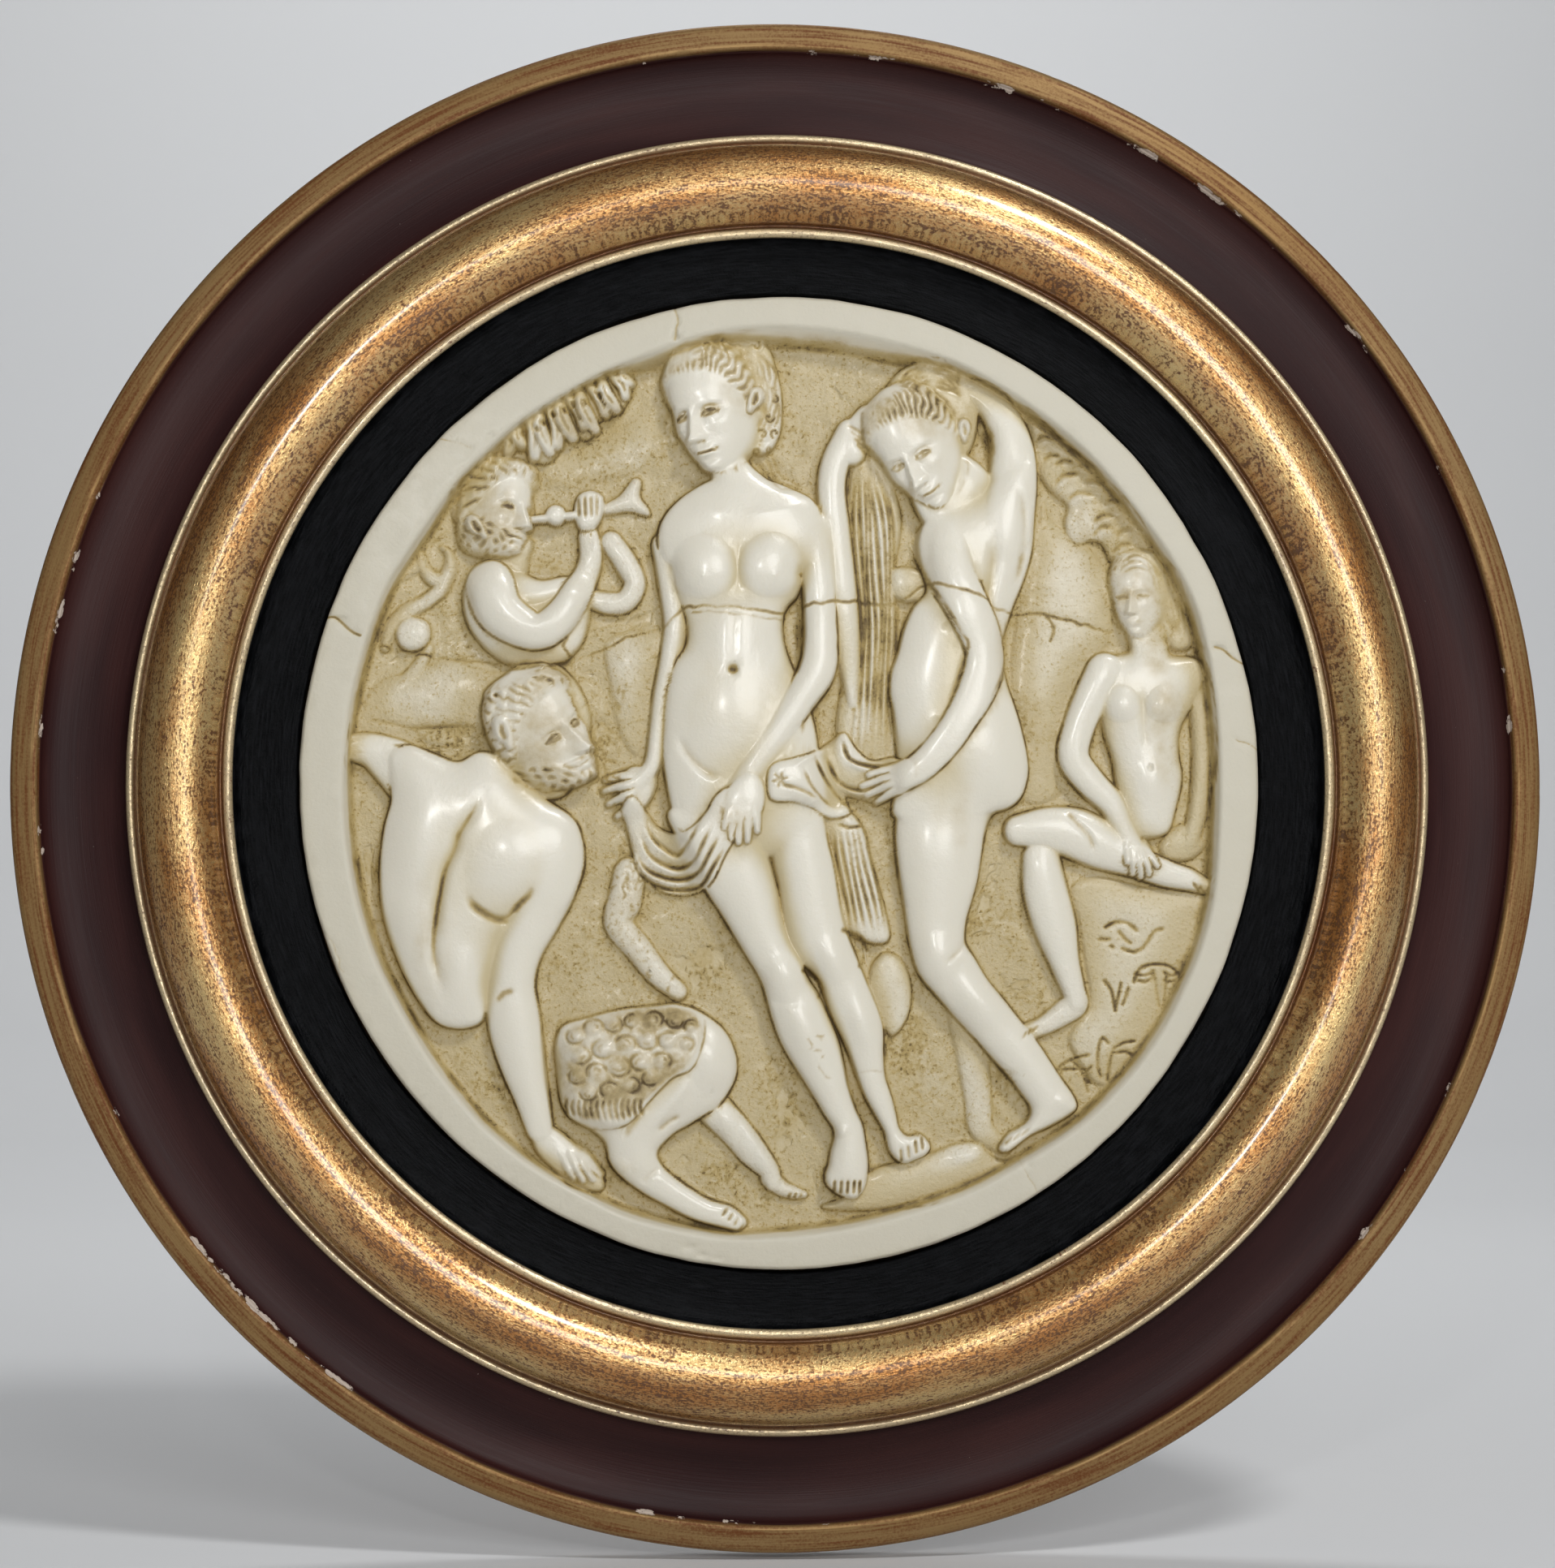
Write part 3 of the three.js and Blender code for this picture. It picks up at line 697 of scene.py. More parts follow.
def crease(points, width, depth, stain, right, down, crest_width, crest):
    """A dark cut, with the surface raised in a crest beside it, right and down of the cut."""
    press(points, width, -depth, stain=stain)
    press([(x + right, y + down) for x, y in points], crest_width, crest)


def locks(first, last, count, width, depth, wobble=0.0, waves=2.0, stain=0.4):
    """Cut count grooves between two lines of like points, with raised strands between them.

    Groove k runs at share k / (count - 1) of the way from the first line to the last, and sways
    sideways by wobble, as a sine of its length.
    """
    first, last = (flowing(line, spacing=4) for line in (first, last))
    steps = 24
    first, last = (line[np.linspace(0, len(line) - 1, steps).astype(int)] for line in (first, last))
    along = np.linspace(0, 1, steps)
    for k in range(2 * count - 1):
        share = k / max(2 * count - 2, 1)
        path = first * (1 - share) + last * share
        heading = np.gradient(path, axis=0)
        length = np.maximum(np.hypot(*heading.T), 1e-6)[:, None]
        side = np.stack([-heading[:, 1], heading[:, 0]], 1) / length
        sway = wobble * np.sin(2 * np.pi * (waves * along + 0.13 * k))
        path = path + side * sway[:, None]
        if k % 2:
            press(path, width * 1.15, 0.55 * depth)
        else:
            press(path, width, -depth, stain=stain)


def curl(x0, y0, radius, turns, start, amount):
    """One curl of wool: a spiral strand whose radius shrinks evenly, cut round by a stained groove."""
    t = np.linspace(0, 1, 16)
    angle = start + 2 * np.pi * turns * t
    spread = radius * (1 - 0.86 * t)
    strand = np.stack([x0 + spread * np.cos(angle), y0 + spread * np.sin(angle)], 1)
    press(strand, radius * 0.2, amount, taper=False)
    groove = np.stack([x0 + (spread - radius * 0.26) * np.cos(angle),
                       y0 + (spread - radius * 0.26) * np.sin(angle)], 1)
    press(groove[:13], max(radius * 0.13, 1.5), -0.8 * amount, taper=False, stain=0.9)


def swell_at(x0, y0, rx, ry, amount, lean=0.0, sharp=1.7, low=1.0):
    """A rounded swelling, an ellipse turned by lean degrees; low under 1 draws its lower side in."""
    reach = 1.05 * max(rx, ry)
    part, x, y = window(np.array([[x0, y0]]), reach)
    turn = np.radians(lean)
    right = (x - x0) * np.cos(turn) + (y - y0) * np.sin(turn)
    down = (y - y0) * np.cos(turn) - (x - x0) * np.sin(turn)
    down = np.where(down > 0, down / low, down)
    inside_share = np.maximum(1 - (right / rx) ** 2 - (down / ry) ** 2, 0)
    height[part] += amount * inside_share**sharp


def head(x0, y0, size, tilt, turn, nod, base, squeeze=0.3, bold=1.2, strands=30, wave=1.0, hair=0.1,
         cut=0.05, short=0, beard=0.0, line=1.2):
    """A head on the sculptor's canon, turned in space and pressed flat to squeeze of its depth.

    The skin is a sheet over longitude, 0 in front, and height v, from -1 at the hairline to 1 at the
    chin. Widths and depths at each height are taken from the canon, and the features are bells laid
    on them in thirds: brows at -1/3, the nose's base at 1/3, all bold times their usual depth. Hair
    is combed away from the face in wavy strands, or lies in rings of short locks if short is the
    number of rings. Angles are in degrees. size is half the hairline-to-chin height, and of the
    sheet's points only the foremost in each grid cell are kept.
    """
    lon = np.radians(np.linspace(-150, 150, 620))[None, :]
    v = np.linspace(-1.46, 1.08, 600)[:, None]
    at = [-1.46, -1.4, -1.25, -0.95, -0.55, -0.1, 0.25, 0.5, 0.7, 0.85, 0.96, 1.04, 1.08]
    wide = np.interp(v, at, [0, .22, .46, .66, .76, .76, .71, .63, .52, .41, .28, .12, 0])
    deep = np.interp(v, at, [0, .3, .58, .85, .96, .95, .94, .93, .90, .87, .76, .5, .2])
    wide, deep = (np.convolve(np.pad(p[:, 0], 12, mode="edge"), np.ones(25) / 25, "valid")[:, None]
                  for p in (wide, deep))
    front = np.clip(np.cos(lon), 0, 1)
    x = wide * np.sin(lon)

    def dab(a, b, across, down, amount):
        """A bell round the place (a, b) on the face."""
        return amount * np.exp(-(((x - a) / across) ** 2) - ((v - b) / down) ** 2)

    out = dab(0, -0.72, 0.5, 0.3, 0.03) + dab(0, 0.53, 0.27, 0.17, 0.06)
    stain = np.zeros_like(out)
    for s in (-1, 1):
        from_eye = x - 0.30 * s
        top = -0.185 + 2.3 * from_eye**2
        bottom = -0.085 - 1.5 * from_eye**2
        lid = np.exp(-((from_eye / 0.18) ** 4))
        out += dab(0.31 * s, -0.17, 0.2, 0.12, -0.15) + dab(0.13 * s, -0.15, 0.07, 0.11, -0.07)
        out += 0.10 * np.sqrt(np.clip(1 - (from_eye / 0.19) ** 2 - ((v + 0.14) / 0.12) ** 2, 0, 1))
        opened = np.clip((v - top) / 0.012, 0, 1) * np.clip((bottom - v) / 0.012, 0, 1)
        out += -0.035 * opened + 0.025 * lid * np.exp(-(((v - top + 0.03) / 0.028) ** 2))
        out += (-0.03 * lid * np.exp(-(((v - top + 0.085) / 0.02) ** 2))
                + 0.015 * lid * np.exp(-(((v - bottom - 0.03) / 0.03) ** 2)))
        out += dab(0.30 * s, -0.14, 0.035, 0.035, -0.03)
        stain = np.maximum(stain, lid * (1.2 * np.exp(-(((v - top) / 0.026) ** 2))
                                         + 0.7 * np.exp(-(((v - bottom) / 0.022) ** 2))))
        stain = np.maximum(stain, dab(0.30 * s, -0.14, 0.05, 0.05, 0.8))
        stain = np.maximum(stain, 0.5 * lid * np.exp(-(((v - top + 0.085) / 0.026) ** 2)))
        brow = -0.335 + 0.55 * (np.abs(x) - 0.30) ** 2
        out += 0.05 * np.exp(-(((v - brow) / 0.06) ** 2)) * np.exp(-((from_eye / 0.25) ** 4))
        out += dab(0.42 * s, 0.08, 0.2, 0.17, 0.06) + dab(0.64 * s, -0.4, 0.12, 0.2, -0.035)
        out += dab(0.10 * s, 0.275, 0.045, 0.05, 0.12) + dab(0.05 * s, 0.35, 0.03, 0.02, -0.07)
        out += dab(0.23 * s, 0.57, 0.05, 0.05, -0.045)
        stain = np.maximum(stain, dab(0.055 * s, 0.352, 0.042, 0.03, 1.0))
    down = np.clip((v + 0.36) / 0.62, 0, 1)
    ridge = (0.07 + 0.25 * down) * np.clip((v + 0.42) / 0.16, 0, 1) * np.clip((0.355 - v) / 0.07, 0, 1)
    out += ridge * np.exp(-((x / (0.062 + 0.035 * down)) ** 2)) + dab(0, 0.25, 0.08, 0.065, 0.06)
    out += (dab(0, 0.44, 0.03, 0.06, -0.02) + dab(0, 0.72, 0.18, 0.05, -0.055)
            + dab(0, 0.88, 0.17, 0.1, 0.10))
    out += 0.06 * np.exp(-(((v - 0.515 - 0.12 * np.abs(x)) / 0.033) ** 2) - (x / 0.18) ** 4)
    out += 0.075 * np.exp(-(((v - 0.622) / 0.04) ** 2) - (x / 0.15) ** 4)
    slit = np.exp(-(((v - 0.566 + 0.2 * x**2) / 0.015) ** 2) - (x / 0.215) ** 4)
    out -= 0.07 * slit
    stain = np.maximum(stain, 1.2 * np.sqrt(slit))
    out *= bold * np.clip(front * 1.6, 0, 1)
    stain *= np.clip(front * 2.5 - 0.2, 0, 1)

    hairline = np.interp(np.abs(np.degrees(lon)), [0, 35, 58, 72, 84, 96, 150],
                         [-0.95, -0.88, -0.66, -0.36, -0.02, 0.25, 0.9])
    locks_grow = (np.clip((hairline - v) / 0.14, 0, 1) * np.clip((0.45 - v) / 0.1, 0, 1)
                  * np.clip((v + 1.45) / 0.2, 0.2, 1))
    bearing = np.arctan2((v + 0.2) * 0.85, lon)
    away = np.hypot((v + 0.2) * 0.85, lon)
    sway = wave * 1.5 * np.sin(12.0 * away)
    outer = np.clip((away - 0.75) / 0.3, 0, 1)
    comb = (1 - outer) * np.sin(bearing * strands + sway) + outer * np.sin(bearing * strands * 2 + 2 * sway)
    fine = np.sin(bearing * strands * 2.6 + wave * 2.2 * np.sin(9.0 * away + 1.0))
    if short:
        ring = away * short + 0.3 * np.sin(5 * bearing + 1) + 0.2 * np.sin(11 * bearing)
        row = np.floor(ring)
        fall = ring - row
        crowd = np.round(strands * (0.4 + 0.5 * row))
        comb = np.sin(bearing * crowd + 2.1 * row + 0.7 * row**2 + 1.3 * fall
                      + 0.9 * np.sin(4 * bearing + row))
        parting = np.clip(1 - np.abs(comb) / 0.45, 0, 1)
        comb = 1.5 * np.sqrt(np.abs(comb)) * (1.15 - 0.8 * fall) - 0.8
        fine = 0.4 * fine
    out += locks_grow * (hair + cut * comb + 0.3 * cut * fine)
    between = parting * 0.6 + 0.2 if short else np.clip(0.1 - comb, 0, 1) * 0.5 + 0.22
    stain = np.maximum(stain, locks_grow * between)
    if beard:
        grow = np.clip((v - 0.16 - 0.9 * np.exp(-((x / 0.3) ** 2)) * (v < 0.42)) / 0.12, 0, 1)
        grow = grow * (1 - np.exp(-((x / 0.2) ** 4) - ((v - 0.57) / 0.085) ** 4))
        tufts = np.sin(15 * lon + 2.2 * np.sin(7 * v)) * np.sin(17 * v + 1.5 * np.sin(5 * lon))
        out += grow * (beard * 0.10 + 0.06 * tufts)
        stain = np.maximum(stain, grow * (np.clip(-tufts - 0.1, 0, 1) * 0.55 + 0.22))
    x = x + 0.6 * out * np.sin(lon)
    z = (deep * np.sign(np.cos(lon)) * np.abs(np.cos(lon)) ** 0.8
         + out * np.maximum(np.abs(np.cos(lon)), 0.25))
    tall = v - (0.8 * out * locks_grow if hair else 0) * np.clip(-v - 0.6, 0, 1)
    turn, nod, lean = np.radians([turn, nod, tilt])
    x, z = x * np.cos(turn) + z * np.sin(turn), z * np.cos(turn) - x * np.sin(turn)
    y, z = tall * np.cos(nod) + z * np.sin(nod), z * np.cos(nod) - tall * np.sin(nod)
    x, y = (x0 + size * (x * np.cos(lean) - y * np.sin(lean)),
            y0 + size * (y * np.cos(lean) + x * np.sin(lean)))
    part, _, _ = window(np.stack([[x.min(), y.min()], [x.max(), y.max()]]), 10)
    rows = np.round((y - GRID_START[1]) / GRAIN).astype(int) - part[0].start
    columns = np.round((x - GRID_START[0]) / GRAIN).astype(int) - part[1].start
    shape = height[part].shape
    cell = (np.clip(rows, 0, shape[0] - 1) * shape[1] + np.clip(columns, 0, shape[1] - 1)).ravel()
    z, stain = z.ravel(), np.broadcast_to(stain, out.shape).ravel()
    foremost = np.full(shape[0] * shape[1], -9.0)
    np.maximum.at(foremost, cell, z)
    kept = z > foremost[cell] - 0.07
    count = np.bincount(cell[kept], minlength=foremost.size)
    shown = (foremost > -0.12) & (count > 0)
    mean, mark = (np.bincount(cell[kept], values[kept], foremost.size) / np.maximum(count, 1)
                  for values in (z, stain))
    shown, mean, mark = (a.reshape(shape) for a in (shown, mean, mark))
    top = base + squeeze * size * UNIT_MM * mean
    won = shown & (top > height[part])
    weight = won.astype(np.float32)
    close = box_blur(weight, 2)
    solid = close > 0.5
    top, mark = (np.where(won, a, box_blur(a * weight, 2) / np.maximum(close, 0.01)) for a in (top, mark))
    height[part] = np.where(solid, top, height[part])
    edge = soft(solid.astype(np.float32), 1)
    height[part] = np.where((edge > 0.05) & (edge < 0.95), soft(height[part], 1), height[part])
    near = soft(shown.astype(np.float32), 2)
    dirt_and_shade[part] = np.where(solid, mark,
                          np.maximum(dirt_and_shade[part], np.clip(near * 1.6, 0, 1) * 0.7 * line * ~shown))


def ear(x0, y0, tall, lean, way=1):
    """An ear: a raised shell with a rolled back edge, a bowl and a lobe; way is the side it opens to."""
    turn = np.radians(lean)

    def place(points):
        """Points of the ear's own drawing, turned and set beside the head."""
        return [(x0 + tall * (way * u * np.cos(turn) - w * np.sin(turn)),
                 y0 + tall * (w * np.cos(turn) + way * u * np.sin(turn)))
                for u, w in points]

    body(place([(-0.2, -0.3), (0.0, -0.52), (0.25, -0.48), (0.36, -0.2), (0.28, 0.1), (0.12, 0.3),
                (0.02, 0.52), (-0.14, 0.5), (-0.2, 0.25)]), lift=0.45, rise=0.7, line=0.6)
    press(place([(-0.08, -0.3), (0.06, -0.42), (0.24, -0.34), (0.27, -0.12), (0.18, 0.1)]), tall * 0.06,
          0.5, taper=False)
    swell_at(*place([(0.03, 0.02)])[0], tall * 0.16, tall * 0.26, -1.0, lean=lean, sharp=0.9)
    press(place([(0.04, -0.2), (0.08, -0.02), (0.02, 0.14)]), tall * 0.08, -0.5, taper=False, stain=0.85)


def rub(x0, y0, rx, ry, cells):
    """Smooth the joins of what stands over RUBBED_ABOVE inside an ellipse, as with a rubbing stone."""
    part, x, y = window(np.array([[x0, y0]]), max(rx, ry))
    share = np.clip(1 - ((x - x0) / rx) ** 2 - ((y - y0) / ry) ** 2, 0, 1) * (height[part] > RUBBED_ABOVE)
    height[part] += (soft(height[part], cells) - height[part]) * np.sqrt(share)


# Ground: a gently uneven sunk field with hill lines, smooth panels and rocks in very low relief.
def mottled(scale, seed, part=(slice(None), slice(None))):
    """Smooth random hollows: coarse random values blended up to the grid, about scale units across."""
    rng = np.random.default_rng(seed)
    rows, columns = (np.arange(n) * GRAIN / scale for n in GRID_SHAPE)
    coarse = rng.standard_normal((int(rows[-1]) + 3, int(columns[-1]) + 3)).astype(np.float32)
    return blend_grid(coarse, rows[:, None], columns[None, :])[part]


height += 0.25 * mottled(60, 1) + 0.16 * mottled(22, 2) + 0.07 * mottled(9, 3) + 0.5

# left hills, panels and the far satyr leg
body([(1300, 640), (1345, 670), (1372, 720), (1368, 790), (1340, 830), (1318, 870), (1305, 930),
      (1300, 985), (1262, 985), (1262, 900), (1245, 840), (1262, 720), (1285, 620)], base=0.9, rise=0.28,
     blend=0.5, line=0.25)
body([(670, 560), (720, 545), (790, 510), (800, 540), (785, 575), (740, 590), (700, 600), (665, 598)],
     base=0.5, rise=0.2, blend=0.5, line=0.1)
body([(744, 790), (811, 779), (806, 830), (795, 900), (780, 934), (757, 900), (748, 850)], base=0.7,
     rise=0.35, blend=0.5, line=0.3)
body([(440, 870), (470, 840), (560, 815), (640, 830), (720, 840), (745, 880), (700, 900), (560, 900),
      (440, 905)], base=0.6, rise=0.3, blend=0.6, line=0.3)

# Foliage at the upper left: a thick garland with a scalloped lower edge, deeply parted into lobes.
body([(585, 566), (598, 548), (612, 556), (628, 546), (640, 553), (650, 567), (665, 571), (680, 562),
      (688, 543), (700, 536), (715, 541), (726, 535), (731, 520), (742, 513), (760, 506), (769, 490),
      (776, 462), (760, 452), (700, 478), (640, 512), (590, 548)], base=2.6, rise=0.45)
for k, (x1, y1, x2, y2, width) in enumerate((
        (604, 546, 598, 560, 8), (618, 536, 620, 556, 9), (632, 524, 637, 548, 9),
        (646, 514, 652, 562, 10), (658, 508, 672, 556, 9), (670, 500, 682, 548, 9),
        (682, 492, 700, 538, 10), (694, 488, 714, 524, 9), (708, 482, 728, 528, 9),
        (722, 476, 741, 508, 9), (736, 468, 754, 502, 9), (750, 462, 766, 486, 8),
        (762, 456, 773, 470, 7))):
    bow = 5 if k % 2 else -4
    limb([(x1, y1, 0.7 * width), ((x1 + x2) / 2 + bow, (y1 + y2) / 2, width), (x2, y2, 0.8 * width)],
         lift=0.9, rise=0.9, blend=0.4, line=0.9)
    press([(x1 + 1, y1 + 3), ((x1 + x2) / 2 + bow, (y1 + y2) / 2), (x2 - 1, y2 - 2)], 2.0, -0.5, stain=0.5)
for x0, y0 in ((640, 534), (664, 522), (676, 512), (690, 506), (700, 500), (716, 496), (734, 488),
               (656, 530)):
    swell_at(x0, y0, 6, 4, -1.6, lean=60 + x0, sharp=0.8)
    press([(x0 - 2, y0 - 5), (x0 + 2, y0 + 5)], 2.2, -0.3, stain=0.9)

# Foliage at the upper right: a flat leafy bank along the rim, cut with crescents and one full lobe.
body([(1250, 498), (1270, 520), (1277, 552), (1284, 582), (1300, 604), (1318, 620), (1314, 640),
      (1318, 656), (1330, 668), (1346, 664), (1360, 666), (1372, 690), (1382, 704), (1420, 690),
      (1440, 700), (1400, 630), (1350, 575), (1300, 530), (1265, 500)], base=1.7, rise=0.35, line=0.9)
for bow in (
        [(1300, 596), (1312, 582), (1336, 578)], [(1316, 614), (1332, 603), (1354, 606)],
        [(1348, 644), (1360, 632), (1378, 631)], [(1348, 660), (1360, 646), (1376, 648)],
        [(1378, 660), (1388, 648), (1402, 648)], [(1286, 566), (1296, 556), (1312, 558)],
        [(1278, 540), (1288, 532), (1302, 538)], [(1300, 570), (1314, 562), (1328, 566)],
        [(1366, 614), (1378, 612), (1390, 622)], [(1372, 680), (1386, 668), (1402, 668)],
        [(1340, 590), (1350, 586), (1362, 594)], [(1396, 690), (1406, 680), (1420, 682)]):
    crease(bow, 2.2, 0.8, 0.6, 2, 7, 4.0, 0.5)

# Far curled tail, staff and ball at the left.
limb([(510, 676, 4), (514, 696, 7), (524, 712, 9), (540, 716, 10), (549, 700, 9), (546, 682, 5),
      (538, 676, 3)], base=0.8, rise=0.6, blend=0.3, line=0.6)
limb([(549, 700, 6), (540, 724, 9), (520, 742, 9), (496, 756, 11), (476, 776, 9), (468, 800, 6)], base=0.9,
     rise=0.65, blend=0.3, line=0.7)
limb([(470, 726, 4), (486, 712, 7), (504, 702, 7), (516, 690, 4)], base=0.6, rise=0.5, blend=0.3, line=0.4)
limb([(524, 800, 5), (512, 820, 8), (494, 842, 9), (470, 856, 7)], base=0.6, rise=0.5, blend=0.3, line=0.6)
body([(503, 762), (520, 768), (525, 783), (519, 798), (503, 805), (487, 799), (481, 783), (488, 768)],
     base=1.6, rise=0.8)

# Satyr at the upper left, blowing a pipe.
limb([(748, 668, 14), (765, 692, 15), (778, 720, 14), (765, 742, 14), (742, 744, 14), (722, 738, 12)],
     base=1.8, rise=0.85)
body([(600, 690), (628, 700), (660, 716), (700, 712), (722, 740), (715, 790), (690, 818), (660, 826),
      (625, 824), (596, 806), (578, 785), (568, 765), (564, 742), (567, 720), (578, 703)], base=2.4,
     rise=0.85)
swell_at(662, 722, 42, 30, 1.3, lean=-25, sharp=0.8, low=0.7)
body([(596, 660), (648, 664), (646, 690), (640, 712), (604, 708)], base=2.6, rise=0.55, blend=0.8, line=0.6)
limb([(598, 722, 30), (612, 758, 29), (655, 782, 23), (684, 766, 21), (706, 732, 18), (722, 694, 15),
      (720, 660, 13)], lift=((600, 740, 0.6), (710, 720, 1.4)), rise=0.85, blend=0.5)
body([(550, 618), (556, 600), (572, 582), (600, 574), (628, 582), (645, 600), (652, 622), (650, 650),
      (640, 672), (618, 684), (592, 672), (566, 655), (552, 640)], base=1.6, rise=0.4, line=0.8)
limb([(646, 642, 5), (672, 639, 6), (700, 636, 6)], base=3.6, line=0.9)
body([(679, 622), (689, 626), (692, 636), (688, 646), (679, 649), (670, 645), (666, 635), (670, 626)],
     base=3.9, rise=0.9, line=0.9)
body([(706, 612), (722, 604), (738, 612), (738, 634), (728, 652), (710, 654), (702, 634)], base=3.6,
     rise=0.8)
for shift in (0, 8, 16, 23):
    press([(707 + shift, 612 - shift * 0.2), (709 + shift * 0.95, 640)], 2.2, -0.9, stain=0.8)
body([(738, 622), (758, 610), (776, 588), (786, 592), (784, 610), (796, 628), (794, 636), (770, 630),
      (740, 634)], base=1.8, rise=0.7, line=0.9)

# Small hairy legs behind the drapery.
limb([(772, 1080, 20), (765, 1118, 21), (758, 1142, 18), (782, 1172, 17), (808, 1205, 15),
      (832, 1226, 12)], base=1.6, rise=0.8, line=0.8)
# Bather at the right, seen from the side and back, and the long hair or veil held in the hands.
body([(1050, 556), (1068, 545), (1084, 556), (1096, 585), (1110, 640), (1102, 700), (1106, 760),
      (1098, 820), (1096, 880), (1100, 940), (1040, 945), (1028, 900), (1038, 830), (1045, 760),
      (1042, 650)], base=1.8, rise=0.4, line=0.8)
locks([(1056, 560), (1050, 640), (1052, 700), (1058, 770), (1054, 850), (1046, 935)],
      [(1074, 556), (1098, 630), (1103, 700), (1102, 780), (1097, 860), (1095, 938)], 8, 2.4, 0.8,
      wobble=1.8, waves=1.3, stain=0.65)
press([(1062, 604), (1070, 700), (1074, 800), (1066, 930)], 4.5, 0.7)
press([(1086, 604), (1092, 700), (1092, 800), (1084, 930)], 4.5, 0.6)
limb([(1046, 530, 18), (1028, 566, 18), (1022, 600, 18), (1026, 650, 19), (1032, 710, 20), (1038, 770, 19),
      (1044, 820, 14), (1048, 868, 7)], base=((1030, 720, 3.4), (1046, 850, 2.2)), rise=0.85)
limb([(1048, 555, 17), (1056, 530, 19), (1068, 510, 16)], base=3.8, rise=0.8, line=0.9)
for shift in (0, 7, 14, 21):
    press([(1040 + shift * 0.5, 520 + shift * 1.1), (1064 + shift * 0.3, 535 + shift * 1.3)], 2.4, -0.8,
          stain=0.5)
# raised far arm and forearm over the head
limb([(1240, 660, 30), (1248, 600, 31), (1248, 552, 28), (1237, 515, 23), (1216, 490, 18),
      (1192, 474, 14)], base=((1248, 610, 5.0), (1200, 480, 3.0)), rise=0.8)
# lower far leg in very low relief
limb([(1180, 1225, 20), (1196, 1300, 20), (1204, 1360, 17), (1208, 1396, 15), (1236, 1420, 9)], base=0.9,
     rise=0.5, line=0.5)
RIGHT_TORSO = [(1160, 618), (1190, 612), (1225, 592), (1250, 575), (1275, 565), (1278, 600), (1276, 640),
               (1272, 680), (1262, 715), (1250, 745), (1240, 775), (1234, 800), (1240, 840), (1250, 870),
               (1260, 905), (1267, 945), (1264, 970), (1256, 988), (1240, 1000), (1215, 1006),
               (1160, 1015), (1100, 1010), (1104, 960), (1102, 920), (1098, 880), (1094, 855), (1096, 830),
               (1104, 805), (1112, 775), (1124, 748), (1140, 730), (1135, 705), (1130, 680), (1131, 658),
               (1140, 638)]
body([(1100, 700), (1120, 698), (1138, 706), (1142, 722), (1134, 738), (1116, 742), (1101, 734),
      (1096, 716)], base=2.3, rise=0.5, line=0.7)
body(RIGHT_TORSO, base=4.6, rise=0.8, line=1.1, blend=3.2)
swell_at(1197, 537, 11, 9, 0.9)
press([(1212, 520), (1220, 545), (1214, 575)], 7, -1.2, stain=0.6)
swell_at(1215, 925, 58, 78, 1.9, lean=-8)
swell_at(1165, 930, 55, 60, 0.8)
press([(1255, 600), (1262, 640), (1258, 690), (1245, 735)], 5, -0.8, stain=0.3)
press([(1225, 640), (1222, 700), (1210, 760), (1190, 850), (1178, 905)], 8, -0.9, stain=0.15)
body([(1112, 580), (1150, 600), (1175, 560), (1196, 560), (1222, 590), (1200, 640), (1150, 650),
      (1130, 632)], base=4.6, rise=0.75, blend=1.2, line=0.8)
# thigh and shin
body([(1106, 960), (1128, 925), (1165, 900), (1215, 905), (1250, 940), (1246, 985), (1222, 1008),
      (1213, 1030), (1208, 1060), (1203, 1090), (1196, 1115), (1189, 1140), (1188, 1165), (1200, 1185),
      (1215, 1210), (1235, 1235), (1255, 1260), (1275, 1285), (1295, 1315), (1308, 1335), (1322, 1355),
      (1326, 1370), (1312, 1382), (1290, 1394), (1268, 1404), (1240, 1424), (1228, 1420), (1240, 1402),
      (1262, 1388), (1268, 1370), (1255, 1350), (1240, 1330), (1220, 1308), (1200, 1285), (1175, 1258),
      (1155, 1235), (1135, 1212), (1126, 1195), (1119, 1170), (1115, 1145), (1110, 1110), (1104, 1070),
      (1101, 1030)], base=((1180, 940, 2.6), (1160, 1060, 4.4)), rise=0.95, line=1.2, blend=3.0)
rub(1160, 1006, 54, 30, 9)
swell_at(1150, 1185, 34, 38, 1.0, lean=30)
swell_at(1205, 1240, 30, 48, 0.8, lean=-45)
swell_at(1309, 1362, 16, 14, 0.6)
press([(1188, 1160), (1176, 1178), (1160, 1192)], 4, -0.6, stain=0.2)
nicks(((1224, 1420), (1234, 1415), (1244, 1410), (1254, 1405)), 12, -12, 1.8, 0.8, 0.6)

